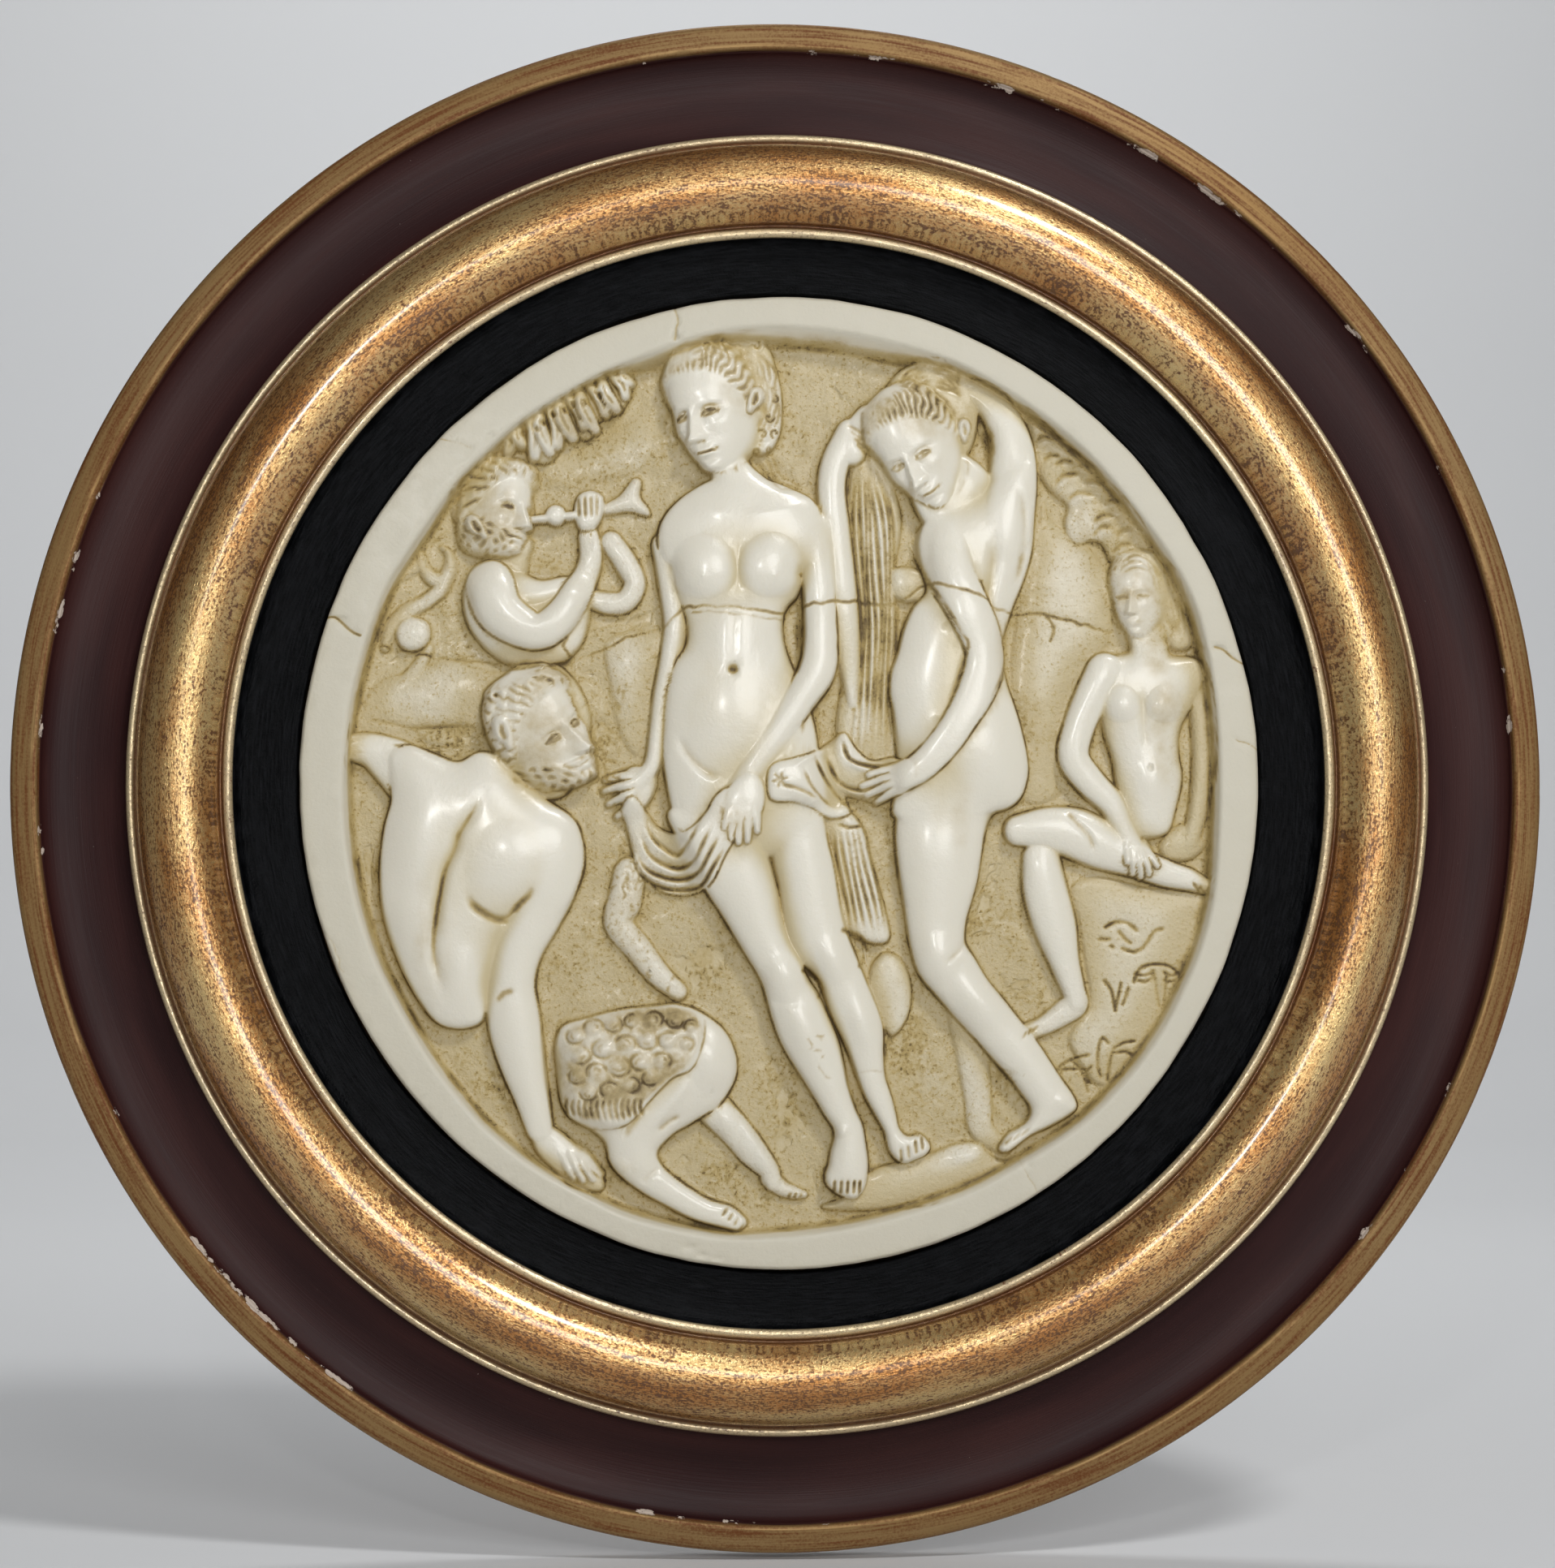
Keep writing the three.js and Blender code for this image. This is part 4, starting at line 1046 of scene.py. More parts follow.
# Bather at the centre, standing to the front.
limb([(814, 672, 16), (822, 720, 16), (828, 770, 15), (822, 815, 14), (812, 860, 12), (806, 905, 11),
      (800, 945, 11), (782, 968, 12)], base=2.6)
body([(770, 950), (790, 948), (806, 962), (800, 986), (784, 1004), (766, 1000), (758, 976)], base=2.6,
     rise=0.6, blend=0.5, line=0.8)
fingers(((776, 958, 742, 964), (774, 970, 740, 978), (776, 982, 746, 994), (780, 994, 756, 1010)),
        (6, 5.6, 4.6), 1, ((780, 974, -1.0), (766, 976, 0.7)), 0.9)
FRONT_TORSO = [(872, 590), (908, 580), (944, 590), (980, 604), (1000, 616), (1012, 640), (1018, 675),
               (1010, 700), (986, 705), (985, 722), (978, 738), (967, 750), (962, 768), (963, 790),
               (970, 815), (982, 842), (994, 872), (1003, 905), (1008, 945), (1012, 1000), (1010, 1040),
               (950, 1060), (880, 1060), (832, 1030), (824, 1005), (817, 970), (813, 940), (814, 900),
               (816, 870), (820, 845), (828, 820), (840, 800), (843, 780), (840, 760), (833, 742),
               (827, 722), (823, 702), (812, 690), (806, 665), (812, 640), (834, 614)]
body(FRONT_TORSO, base=4.8, rise=0.82, line=1.3)
body([(866, 560), (905, 555), (925, 575), (950, 595), (978, 612), (950, 632), (900, 640), (850, 628),
      (846, 612), (872, 592)], base=5.0, rise=0.75, blend=1.5, line=0.9)
swell_at(862, 706, 42, 46, 2.9, sharp=1.1, low=0.78)
swell_at(947, 704, 42, 46, 2.9, sharp=1.1, low=0.78)
swell_at(862, 714, 5, 5, 0.5)
swell_at(950, 712, 5, 5, 0.5)
press([(905, 660), (905, 700), (904, 740)], 8, -0.4)
press([(846, 620), (872, 630), (896, 636)], 6, 0.28)
press([(990, 620), (950, 631), (918, 637)], 6, 0.28)
swell_at(898, 795, 48, 50, 0.5)
swell_at(895, 885, 58, 68, 1.2)
press([(902, 755), (900, 790), (899, 815)], 7, -0.35)
swell_at(899, 828, 8, 9, -1.2, sharp=0.9)
press([(897, 828), (901, 829)], 3.2, -0.5, taper=False, stain=1.0)
press([(828, 905), (845, 935), (868, 956), (888, 962)], 6, -0.6, stain=0.15)
press([(952, 905), (930, 935), (908, 955), (892, 962)], 6, -0.5, stain=0.1)
# legs, the far one first
body([(935, 1000), (1000, 990), (1012, 1010), (1018, 1040), (1025, 1070), (1030, 1100), (1035, 1130),
      (1042, 1155), (1060, 1200), (1070, 1225), (1080, 1250), (1086, 1275), (1086, 1300), (1088, 1330),
      (1095, 1352), (1101, 1375), (1106, 1395), (1116, 1404), (1132, 1402), (1144, 1416), (1139, 1427),
      (1124, 1434), (1110, 1438), (1098, 1430), (1091, 1418), (1087, 1400), (1078, 1383), (1065, 1360),
      (1055, 1337), (1047, 1315), (1037, 1290), (1020, 1255), (1010, 1225), (998, 1203), (982, 1190),
      (968, 1165), (960, 1130), (955, 1095), (949, 1070), (943, 1040)], base=4.4, rise=0.92, line=1.2,
     blend=0.5)
swell_at(1022, 1188, 26, 34, 0.9, lean=-20)
swell_at(1062, 1270, 20, 44, 0.6, lean=-22)
body([(822, 1000), (930, 1000), (940, 1040), (946, 1065), (955, 1100), (960, 1130), (969, 1160),
      (985, 1188), (992, 1208), (1006, 1230), (1018, 1256), (1030, 1285), (1037, 1315), (1042, 1342),
      (1051, 1370), (1060, 1390), (1064, 1412), (1067, 1435), (1066, 1452), (1061, 1470), (1050, 1481),
      (1032, 1477), (1017, 1466), (1013, 1454), (1018, 1438), (1020, 1424), (1025, 1405), (1023, 1393),
      (1013, 1378), (1000, 1356), (981, 1326), (966, 1302), (955, 1280), (945, 1250), (937, 1220),
      (929, 1203), (915, 1180), (900, 1155), (885, 1130), (865, 1100), (845, 1060)], base=5.0, rise=0.98,
     line=1.2, blend=0.5)
swell_at(963, 1206, 30, 32, 1.1, lean=-25)
swell_at(985, 1272, 22, 52, 0.7, lean=-28)
press([(935, 1228), (955, 1240), (985, 1240)], 4, -0.35)
swell_at(1033, 1398, 10, 10, 0.8)
nicks(((1025, 1456), (1033, 1456), (1041, 1456), (1049, 1456), (1056, 1456)), -1, 20, 1.9, 1.1, 0.8)
nicks(((1106, 1417), (1115, 1413), (1124, 1407), (1132, 1402)), 2, 20, 1.9, 1.0, 0.8)

# Drapery from hand to hand, and the long fall behind the legs.
body([(1010, 1008), (1040, 1000), (1062, 1025), (1072, 1065), (1082, 1100), (1090, 1130), (1095, 1158),
      (1085, 1167), (1060, 1163), (1037, 1148), (1032, 1110), (1025, 1070), (1018, 1035)], base=2.6,
     rise=0.5)
locks([(1024, 1022), (1030, 1070), (1040, 1120), (1046, 1154)],
      [(1062, 1022), (1072, 1070), (1084, 1120), (1091, 1158)], 6, 2.2, 0.8, wobble=0.8, waves=1.0,
      stain=0.6)
body([(1088, 1178), (1105, 1183), (1118, 1205), (1121, 1238), (1113, 1265), (1098, 1281), (1086, 1270),
      (1078, 1250), (1068, 1222), (1072, 1195)], base=1.8, rise=0.45, line=0.9)
body([(775, 985), (792, 1003), (806, 1022), (828, 1031), (846, 1026), (866, 1006), (876, 988), (890, 976),
      (915, 972), (935, 985), (930, 1015), (905, 1035), (888, 1060), (874, 1090), (857, 1103), (835, 1107),
      (813, 1103), (797, 1091), (782, 1076), (774, 1048), (767, 1020), (762, 1000)], lift=1.3, rise=0.55,
     line=1.1)
for fold in (
        [(790, 1008), (800, 1036), (816, 1050), (831, 1058), (842, 1046), (852, 1028), (862, 1008)],
        [(784, 1028), (796, 1056), (812, 1068), (832, 1074), (850, 1066), (862, 1044), (874, 1018)],
        [(778, 1046), (790, 1072), (810, 1084), (835, 1088), (856, 1080), (868, 1060), (884, 1030)],
        [(776, 1062), (790, 1086), (812, 1098), (838, 1101), (860, 1096), (874, 1074), (892, 1044)]):
    crease(fold, 2.4, 1.3, 0.8, 1, 6, 3.2, 0.9)
body([(945, 950), (975, 938), (1000, 930), (1022, 915), (1038, 905), (1052, 925), (1072, 940), (1100, 936),
      (1112, 950), (1108, 975), (1088, 992), (1066, 990), (1040, 985), (1045, 1005), (1020, 1012),
      (1000, 1000), (975, 992), (945, 988)], lift=1.0, rise=0.6)
for fold in (
        [(1035, 913), (1044, 938), (1070, 947), (1095, 948)],
        [(1015, 935), (1030, 965), (1052, 976), (1076, 972)],
        [(985, 950), (996, 972), (1012, 990), (1024, 1000)],
        [(1000, 935), (1012, 960), (1030, 985), (1046, 1000)], [(955, 970), (985, 978), (1005, 990)]):
    crease(fold, 2.4, 1.5, 0.9, 4, 5, 3.0, 1.0)
press([(975, 948), (996, 936), (1018, 924)], 3.0, 1.0)
for k in range(6):
    turn = k * np.pi / 3 + 0.3
    swell_at(957 + 7 * np.cos(turn), 965 + 7 * np.sin(turn), 6, 6, 0.6)
    press([(957, 965), (957 + 11 * np.cos(turn + 0.5), 965 + 11 * np.sin(turn + 0.5))], 1.8, -0.9,
          stain=0.95)

# Near arms over the bodies.
limb([(1004, 650, 20), (1005, 700, 21), (1007, 750, 20), (1008, 795, 21), (1004, 828, 23), (984, 862, 20),
      (962, 895, 18), (940, 925, 17), (920, 955, 16), (908, 978, 17)],
     base=((1004, 650, 3.9), (925, 950, 8.7)), rise=0.95, blend=1.0, line=1.2)
body([(900, 968), (918, 956), (934, 966), (938, 990), (930, 1010), (908, 1012), (892, 1004), (892, 984)],
     lift=0.3, rise=0.4, blend=0.8, line=0.2)
fingers(((896, 992, 889, 1024), (902, 998, 897, 1036), (910, 1000, 906, 1042), (919, 999, 917, 1040),
         (928, 990, 929, 1028)), (5.5, 5.2, 4.2), 0, ((908, 996, -1.2), (908, 1016, 0.7)), 0.8, line=0.7)
limb([(1158, 672, 34), (1170, 710, 30), (1190, 750, 27), (1208, 790, 25), (1212, 820, 25), (1200, 855, 23),
      (1180, 890, 20), (1158, 922, 19), (1132, 948, 18), (1108, 962, 17)],
     lift=((1160, 672, -2.6), (1186, 760, 1.3)), rise=0.95, blend=0.8, line=1.2)
press([(1128, 684), (1140, 712), (1160, 745), (1184, 786), (1190, 797), (1182, 826), (1170, 862),
       (1152, 900)], 2.2, -0.5, stain=0.75)
press([(1236, 752), (1240, 790), (1234, 830), (1214, 870)], 2.2, -0.4, stain=0.45)
body([(1116, 938), (1124, 956), (1116, 976), (1098, 984), (1086, 972), (1090, 952)], lift=0.4, rise=0.45,
     blend=0.8, line=0.2)
fingers(((1104, 948, 1068, 958), (1100, 960, 1060, 972), (1100, 969, 1066, 983), (1104, 977, 1078, 992)),
        (5.5, 5.2, 4.0), 1, ((1102, 962, -1.2), (1086, 966, 0.7)), 0.8, line=0.7)

# Heads of the two bathers: combed-back wavy hair, knotted on top and curling at the nape.
body([(826, 448), (838, 424), (862, 410), (892, 403), (922, 406), (942, 420), (952, 445), (960, 480),
      (960, 520), (952, 546), (938, 558), (922, 552), (905, 500), (860, 450)], base=3.2, rise=0.45,
     line=0.7)
head(882, 508, 66, -17, -31, 6, 4.0, squeeze=0.42, bold=1.3, hair=0.09, strands=30, wave=0.6, cut=0.045)
for first, last, count in (
        ([(832, 436), (862, 416), (900, 420), (930, 440)],
         [(846, 452), (876, 436), (905, 442), (930, 462)], 5),
        ([(872, 410), (905, 402), (940, 416)], [(885, 424), (912, 418), (938, 430)], 4),
        ([(930, 424), (950, 456), (955, 505), (948, 540)],
         [(918, 448), (930, 478), (936, 510), (930, 546)], 6)):
    locks(first, last, count, 2.6, 0.75, wobble=2.4, waves=2.4, stain=0.4)
ear(925, 492, 34, 12)
for x0, y0, radius, start in (
        (944, 512, 10, 0), (952, 532, 9, 2), (936, 534, 9, 4), (946, 552, 9, 1), (930, 556, 8, 3),
        (951, 490, 8, 5), (890, 418, 10, 1), (910, 412, 10, 3), (928, 422, 9, 5), (868, 424, 9, 2)):
    curl(x0, y0, radius, turns=1.1, start=start, amount=0.55)
locks([(930, 556), (940, 580), (958, 600), (990, 606)], [(944, 552), (958, 576), (974, 592), (1000, 600)],
      3, 2.6, 0.55, wobble=1.8, stain=0.5)

body([(1076, 515), (1082, 490), (1100, 460), (1126, 442), (1160, 440), (1188, 452), (1204, 478),
      (1206, 508), (1200, 542), (1186, 562), (1172, 530), (1130, 505)], base=3.4, rise=0.5, line=0.9)
head(1137, 552, 64, -34, -26, 14, 4.2, squeeze=0.42, bold=1.3, hair=0.09, strands=30, wave=0.45, cut=0.045)
for first, last, count in (([(1104, 470), (1122, 452), (1140, 446)],
                            [(1118, 486), (1134, 468), (1150, 462)], 5),
                           ([(1146, 448), (1170, 448), (1190, 462)],
                            [(1150, 474), (1170, 476), (1186, 488)], 7)):
    locks(first, last, count, 2.6, 0.75, wobble=1.0, waves=1.5, stain=0.5)
ear(1187, 528, 28, -14)
# Seated bather at the far right.
body([(1322, 1096), (1360, 1085), (1420, 1098), (1494, 1105), (1508, 1130), (1490, 1190), (1452, 1262),
      (1410, 1322), (1384, 1344), (1352, 1340), (1334, 1318), (1318, 1286), (1330, 1262), (1344, 1240),
      (1338, 1190), (1330, 1140)], base=1.5, rise=0.22, line=0.4, blend=0.5)
limb([(1476, 830, 15), (1484, 880, 14), (1486, 940, 13), (1480, 1000, 12), (1470, 1040, 11)], base=1.4,
     rise=0.8, line=0.9)
body([(1432, 1042), (1460, 1018), (1488, 1042), (1470, 1062), (1440, 1062)], base=1.4, rise=0.5, line=0.7)
body([(1398, 785), (1440, 790), (1446, 806), (1480, 812), (1488, 838), (1474, 868), (1458, 900),
      (1456, 930), (1460, 960), (1452, 1000), (1440, 1030), (1405, 1035), (1385, 1010), (1376, 965),
      (1372, 938), (1362, 905), (1356, 875), (1345, 850), (1352, 822), (1372, 808), (1394, 803)], base=2.6,
     rise=0.75, line=1.1)
swell_at(1382, 872, 24, 27, 1.5, sharp=1.1, low=0.78)
swell_at(1436, 872, 24, 27, 1.5, sharp=1.1, low=0.78)
swell_at(1424, 965, 30, 38, 0.8)
swell_at(1418, 948, 4, 5, -0.9)
press([(1409, 850), (1410, 890), (1414, 930)], 5, -0.5)
body([(1304, 1238), (1318, 1226), (1336, 1222), (1342, 1238), (1336, 1254), (1314, 1268), (1288, 1280),
      (1262, 1288), (1250, 1280), (1258, 1268), (1280, 1258)], base=2.2, rise=0.7, line=0.9)
nicks(((1256, 1284), (1263, 1280), (1270, 1277)), 8, -10, 1.6, 0.6, 0.7)
limb([(1283, 1062, 24), (1288, 1100, 28), (1300, 1145, 27), (1312, 1190, 19), (1322, 1222, 15),
      (1326, 1240, 13)], base=2.6, rise=0.9, line=1.1)
limb([(1256, 1026, 20), (1290, 1024, 27), (1325, 1030, 32), (1362, 1046, 30), (1405, 1066, 20),
      (1440, 1080, 17), (1470, 1088, 14), (1492, 1098, 9)], base=3.0, rise=0.85, line=1.1)
press([(1313, 1000), (1325, 1016), (1340, 1032), (1350, 1056)], 3.5, -0.7, stain=0.5)
for k in range(4):
    press([(1470 + 8 * k, 1090 + 3 * k), (1482 + 7 * k, 1104 + 2 * k)], 1.8, -0.7, stain=0.6)
limb([(1364, 828, 24), (1346, 862, 22), (1330, 900, 20), (1324, 935, 20), (1345, 966, 19), (1370, 992, 17),
      (1384, 1020, 15), (1396, 1046, 15)], base=3.4, rise=0.9, line=1.1)
fingers(((1388, 1044, 1388, 1066), (1394, 1048, 1396, 1080), (1401, 1048, 1406, 1084),
         (1408, 1046, 1416, 1080), (1412, 1042, 1426, 1070)), (5.5, 5.0, 3.8), 0,
        ((1399, 1046, -1.0), (1404, 1062, 0.7)), 0.8)
body([(1378, 690), (1402, 672), (1436, 686), (1456, 716), (1466, 752), (1474, 792), (1450, 800),
      (1430, 770)], base=1.8, rise=0.6, line=0.8)
body([(1392, 770), (1436, 770), (1440, 800), (1444, 822), (1392, 822), (1396, 800)], base=2.6, rise=0.6,
     blend=0.6, line=0.8)

# Old satyr at the left, seen from behind, leaning on the right arm.
limb([(425, 924, 17), (452, 928, 22), (484, 946, 32), (510, 968, 38)], base=3.0, rise=0.7)
press([(440, 890), (470, 893), (500, 900), (530, 899), (562, 898), (590, 906)], 3, -0.5, stain=0.6)
swell_at(540, 915, 30, 9, 0.9, lean=6, sharp=0.9)
OLD_BACK = [(474, 935), (500, 922), (530, 932), (560, 942), (585, 930), (610, 935), (640, 965), (668, 988),
            (692, 1004), (708, 1020), (716, 1050), (714, 1080), (700, 1115), (678, 1135), (645, 1140),
            (618, 1160), (608, 1185), (600, 1215), (596, 1250), (588, 1266), (562, 1272), (535, 1264),
            (512, 1236), (492, 1200), (476, 1160), (467, 1125), (464, 1090), (465, 1055), (470, 1020),
            (478, 985)]
body(OLD_BACK, base=4.6, rise=0.85, line=1.3)
press([(588, 985), (577, 1010), (564, 1028), (558, 1050), (547, 1072), (541, 1100), (535, 1140),
       (532, 1175), (537, 1205), (546, 1235)], 7, -1.1, stain=0.1)
press([(586, 992), (574, 1014), (563, 1032), (556, 1054), (546, 1076), (540, 1104), (534, 1142),
       (532, 1176), (538, 1208)], 2.0, -0.7, stain=0.9)
swell_at(508, 1040, 34, 70, 0.9, lean=8)
swell_at(508, 1150, 32, 60, 0.7, lean=-14)
swell_at(620, 1068, 52, 60, 1.5, lean=20)
press([(572, 1103), (580, 1119), (596, 1131), (614, 1138), (640, 1134)], 5, -1.1, stain=0.5)
swell_at(570, 1205, 26, 45, 0.8)
press([(655, 1095), (648, 1108), (634, 1122), (622, 1140)], 4, -0.9, stain=0.7)
limb([(668, 1040, 44), (668, 1085, 42), (652, 1130, 37), (634, 1172, 32), (626, 1215, 30), (630, 1262, 33),
      (640, 1310, 29), (652, 1355, 22), (662, 1395, 17)], base=((668, 1040, 4.2), (660, 1395, 3.6)),
     rise=0.95, blend=1.6, line=1.2)
press([(608, 1240), (618, 1228), (632, 1224)], 4, -0.5, stain=0.4)
body([(652, 1388), (678, 1392), (700, 1408), (722, 1428), (742, 1458), (736, 1472), (706, 1466),
      (680, 1446), (656, 1420)], base=3.4, rise=0.7, blend=0.5, line=1.1)
fingers(((688, 1424, 704, 1456), (698, 1420, 716, 1458), (708, 1420, 728, 1456), (716, 1424, 738, 1450)),
        (6, 5.6, 4.4), 0, ((694, 1422, -1.0), (706, 1440, 0.7)), 0.8)
body([(598, 870), (604, 848), (622, 830), (650, 820), (682, 822), (704, 842), (718, 868), (724, 895),
      (720, 922), (712, 948), (700, 975), (680, 988), (655, 985), (630, 970), (614, 945), (602, 915)],
     base=3.0, rise=0.5)
body([(604, 880), (620, 878), (632, 896), (634, 918), (626, 935), (612, 930), (602, 905)], lift=0.6,
     rise=0.7)

# Shaggy thigh, knee and legs of the near satyr at the bottom.
limb([(878, 1372, 22), (902, 1396, 20), (925, 1424, 18), (944, 1446, 13), (950, 1462, 11)], base=2.0,
     rise=0.85)
limb([(946, 1456, 12), (960, 1468, 10), (976, 1474, 8), (988, 1476, 5)], base=1.6, rise=0.8, line=0.9)
swell_at(892, 1384, 18, 22, 0.7, lean=-35)
swell_at(938, 1436, 12, 20, 0.6, lean=-35)
press([(905, 1384), (926, 1410), (944, 1440)], 4, 0.5)
nicks(((968, 1482), (975, 1482), (982, 1482)), 4, -10, 1.6, 0.6, 0.7)
body([(760, 1452), (785, 1460), (828, 1494), (805, 1504), (765, 1488), (738, 1470)], base=1.0, rise=-0.25,
     line=0.6)
THIGH = [(690, 1268), (720, 1258), (760, 1248), (800, 1244), (835, 1242), (862, 1252), (888, 1272),
         (902, 1298), (905, 1325), (895, 1350), (880, 1368), (862, 1380), (846, 1390), (826, 1402),
         (808, 1422), (812, 1438), (826, 1452), (848, 1468), (872, 1482), (898, 1490), (918, 1508),
         (908, 1520), (885, 1516), (850, 1506), (815, 1488), (790, 1474), (765, 1456), (748, 1436),
         (742, 1412), (725, 1396), (700, 1382), (688, 1360), (684, 1320), (682, 1288)]
body(THIGH, base=4.2, rise=0.9, line=1.3)
swell_at(874, 1308, 34, 46, 1.5)
press([(806, 1398), (820, 1386), (836, 1377)], 3.5, -0.8, stain=0.4)
press([(800, 1360), (780, 1384), (764, 1410)], 4, -0.5, stain=0.3)
press([(850, 1330), (828, 1360), (800, 1392)], 6, 0.6)
press([(812, 1440), (796, 1452), (788, 1462)], 4, -0.6, stain=0.3)
swell_at(762, 1442, 14, 16, 0.8)
nicks(((886, 1502), (893, 1508), (900, 1514), (907, 1520)), 8, -12, 1.7, 0.8, 0.8)
swell_at(920, 1415, 14, 24, 0.5, lean=-35)

# Rock under the feet, and the mound at the right.
body([(1065, 1452), (1090, 1440), (1120, 1436), (1150, 1424), (1180, 1413), (1205, 1414), (1222, 1430),
      (1248, 1442), (1230, 1460), (1180, 1478), (1110, 1492), (1050, 1496), (1010, 1492), (1040, 1478)],
     base=1.8, rise=0.45, line=0.8)
swell_at(1190, 1428, 26, 12, 0.6, lean=-8)

# Heads of the seated bather and the two satyrs: long locks, and rings of short curls with beards.
locks([(1385, 700), (1430, 690), (1460, 740), (1470, 790)],
      [(1420, 730), (1436, 745), (1446, 770), (1450, 798)], 6, 2.8, 0.7, wobble=1.8, stain=0.5)
head(1410, 738, 44, -5, -20, 4, 2.4, squeeze=0.38, bold=1.3, hair=0.1, strands=11, short=5, cut=0.06,
     line=1.0)
locks([(1376, 700), (1398, 684), (1424, 694), (1440, 730)],
      [(1380, 712), (1400, 698), (1420, 706), (1432, 736)], 3, 2.6, 0.6, wobble=1.2, stain=0.5)

head(600, 636, 50, 10, 46, -8, 2.6, squeeze=0.42, bold=1.4, hair=0.2, strands=8, short=3, cut=0.13,
     beard=1.0)
ear(583, 652, 34, -30, way=-1)

head(660, 914, 64, -26, 36, 18, 5.0, squeeze=0.38, bold=1.4, hair=0.16, strands=9, short=3.4, cut=0.12,
     beard=1.0)
ear(618, 908, 42, -12, way=-1)

# Fleece on the satyr's thigh: a raised shaggy mass of irregular clumps, hanging in locks below.
body([(690, 1270), (720, 1258), (760, 1248), (800, 1243), (832, 1241), (860, 1253), (864, 1278),
      (850, 1318), (824, 1332), (800, 1356), (772, 1386), (745, 1394), (720, 1393), (700, 1380),
      (688, 1362), (682, 1320), (680, 1290)], lift=0.9, rise=0.25, blend=0.3, line=0.8)
part, x, y = window(np.array([[682, 1243], [866, 1400]]), 4)
wool_edge = flowing([(688, 1274), (720, 1261), (760, 1251), (800, 1247), (832, 1246), (856, 1256),
                     (862, 1276), (846, 1314), (822, 1330), (798, 1352), (770, 1378), (745, 1384),
                     (720, 1384), (702, 1374), (690, 1356), (686, 1310)], closed=True)
wool = soft(inside(wool_edge, x, y).astype(np.float32), 2)
twist = mottled(9, 91, part) + 0.3 * mottled(5, 92, part)
ridge = np.clip(1.25 - np.abs(twist) / 0.7, 0, 1)
clumps = np.clip(1.2 * mottled(26, 93, part), -1, 1.2)
height[part] += wool * (0.35 * np.sqrt(ridge) - 0.2 + 0.3 * clumps)
darken(part, wool * (0.46 - 0.14 * ridge))
for k, (x0, y0, radius) in enumerate((
        (706, 1280, 10), (728, 1270, 11), (752, 1266, 10), (776, 1262, 9), (802, 1260, 10), (828, 1262, 9),
        (848, 1268, 8), (712, 1304, 11), (740, 1296, 12), (768, 1290, 11), (794, 1286, 11),
        (820, 1286, 11), (842, 1290, 8), (708, 1330, 9), (732, 1324, 11), (760, 1318, 12), (786, 1312, 11),
        (812, 1310, 10), (722, 1350, 9), (748, 1346, 10), (774, 1340, 10), (798, 1332, 9))):
    lean = 25 * np.sin(1.7 * k) - 30
    swell_at(x0, y0, radius * 1.15, radius * 0.85, 1.5, lean=lean, sharp=0.8)
    turn = 2.4 * k + np.linspace(0, 4.6, 12)
    press(np.stack([x0 + 1.15 * radius * np.cos(turn), y0 + 0.95 * radius * np.sin(turn)], 1), 1.9, -1.0,
          stain=0.95)
    press(np.stack([x0 + 0.5 * radius * np.cos(turn[3:]), y0 + 0.42 * radius * np.sin(turn[3:])], 1), 1.7,
          -0.7, stain=0.75)
for k in range(13):
    x0 = 697 + 7.6 * k
    drop = 26 - 0.14 * (x0 - 740) ** 2 / 40
    press([(x0, 1356 - 0.12 * k), (x0 - 3, 1366), (x0 + 1, 1360 + drop)], 2.3, -1.0, stain=0.85)
    press([(x0 + 4, 1356), (x0 + 1, 1368), (x0 + 5, 1362 + drop)], 2.6, 0.6)

# Small strokes of the carver's point: scratched plants and signs, rough ground, and the old breaks.
def scratch(points, width=1.7, depth=0.6, stain=0.85):
    """A stroke of the point, dark with old dirt."""
    press(points, width, -depth, taper=False, stain=stain)


def flecks(outline, count, length, lean, seed, width=1.6, depth=0.4, stain=0.6):
    """Short strokes scattered inside an outline, all leaning about the same way."""
    rng = np.random.default_rng(seed)
    corners = np.array(outline, float)
    low, high = corners.min(axis=0), corners.max(axis=0)
    for x0, y0 in low + rng.random((count, 2)) * (high - low):
        if not inside(corners, np.array([[x0]]), np.array([[y0]]))[0, 0]:
            continue
        turn = np.radians(lean + rng.normal() * 28)
        reach = length * rng.uniform(0.5, 1.2)
        press([(x0, y0), (x0 + reach * np.cos(turn), y0 + reach * np.sin(turn))], width, -depth,
              taper=False, stain=stain)


# signs on the rock at the right, strokes that spell nothing
for sign in (
        [(1363, 1146), (1374, 1140), (1388, 1140), (1398, 1146)],
        [(1380, 1151), (1387, 1160), (1394, 1166)],
        [(1384, 1172), (1398, 1177), (1411, 1170), (1419, 1158)],
        [(1419, 1158), (1425, 1150), (1434, 1148)], [(1356, 1161), (1368, 1161)],
        [(1370, 1169), (1372, 1171)], [(1398, 1146), (1402, 1150)]):
    scratch(sign, 2.0, 0.8, 0.95)
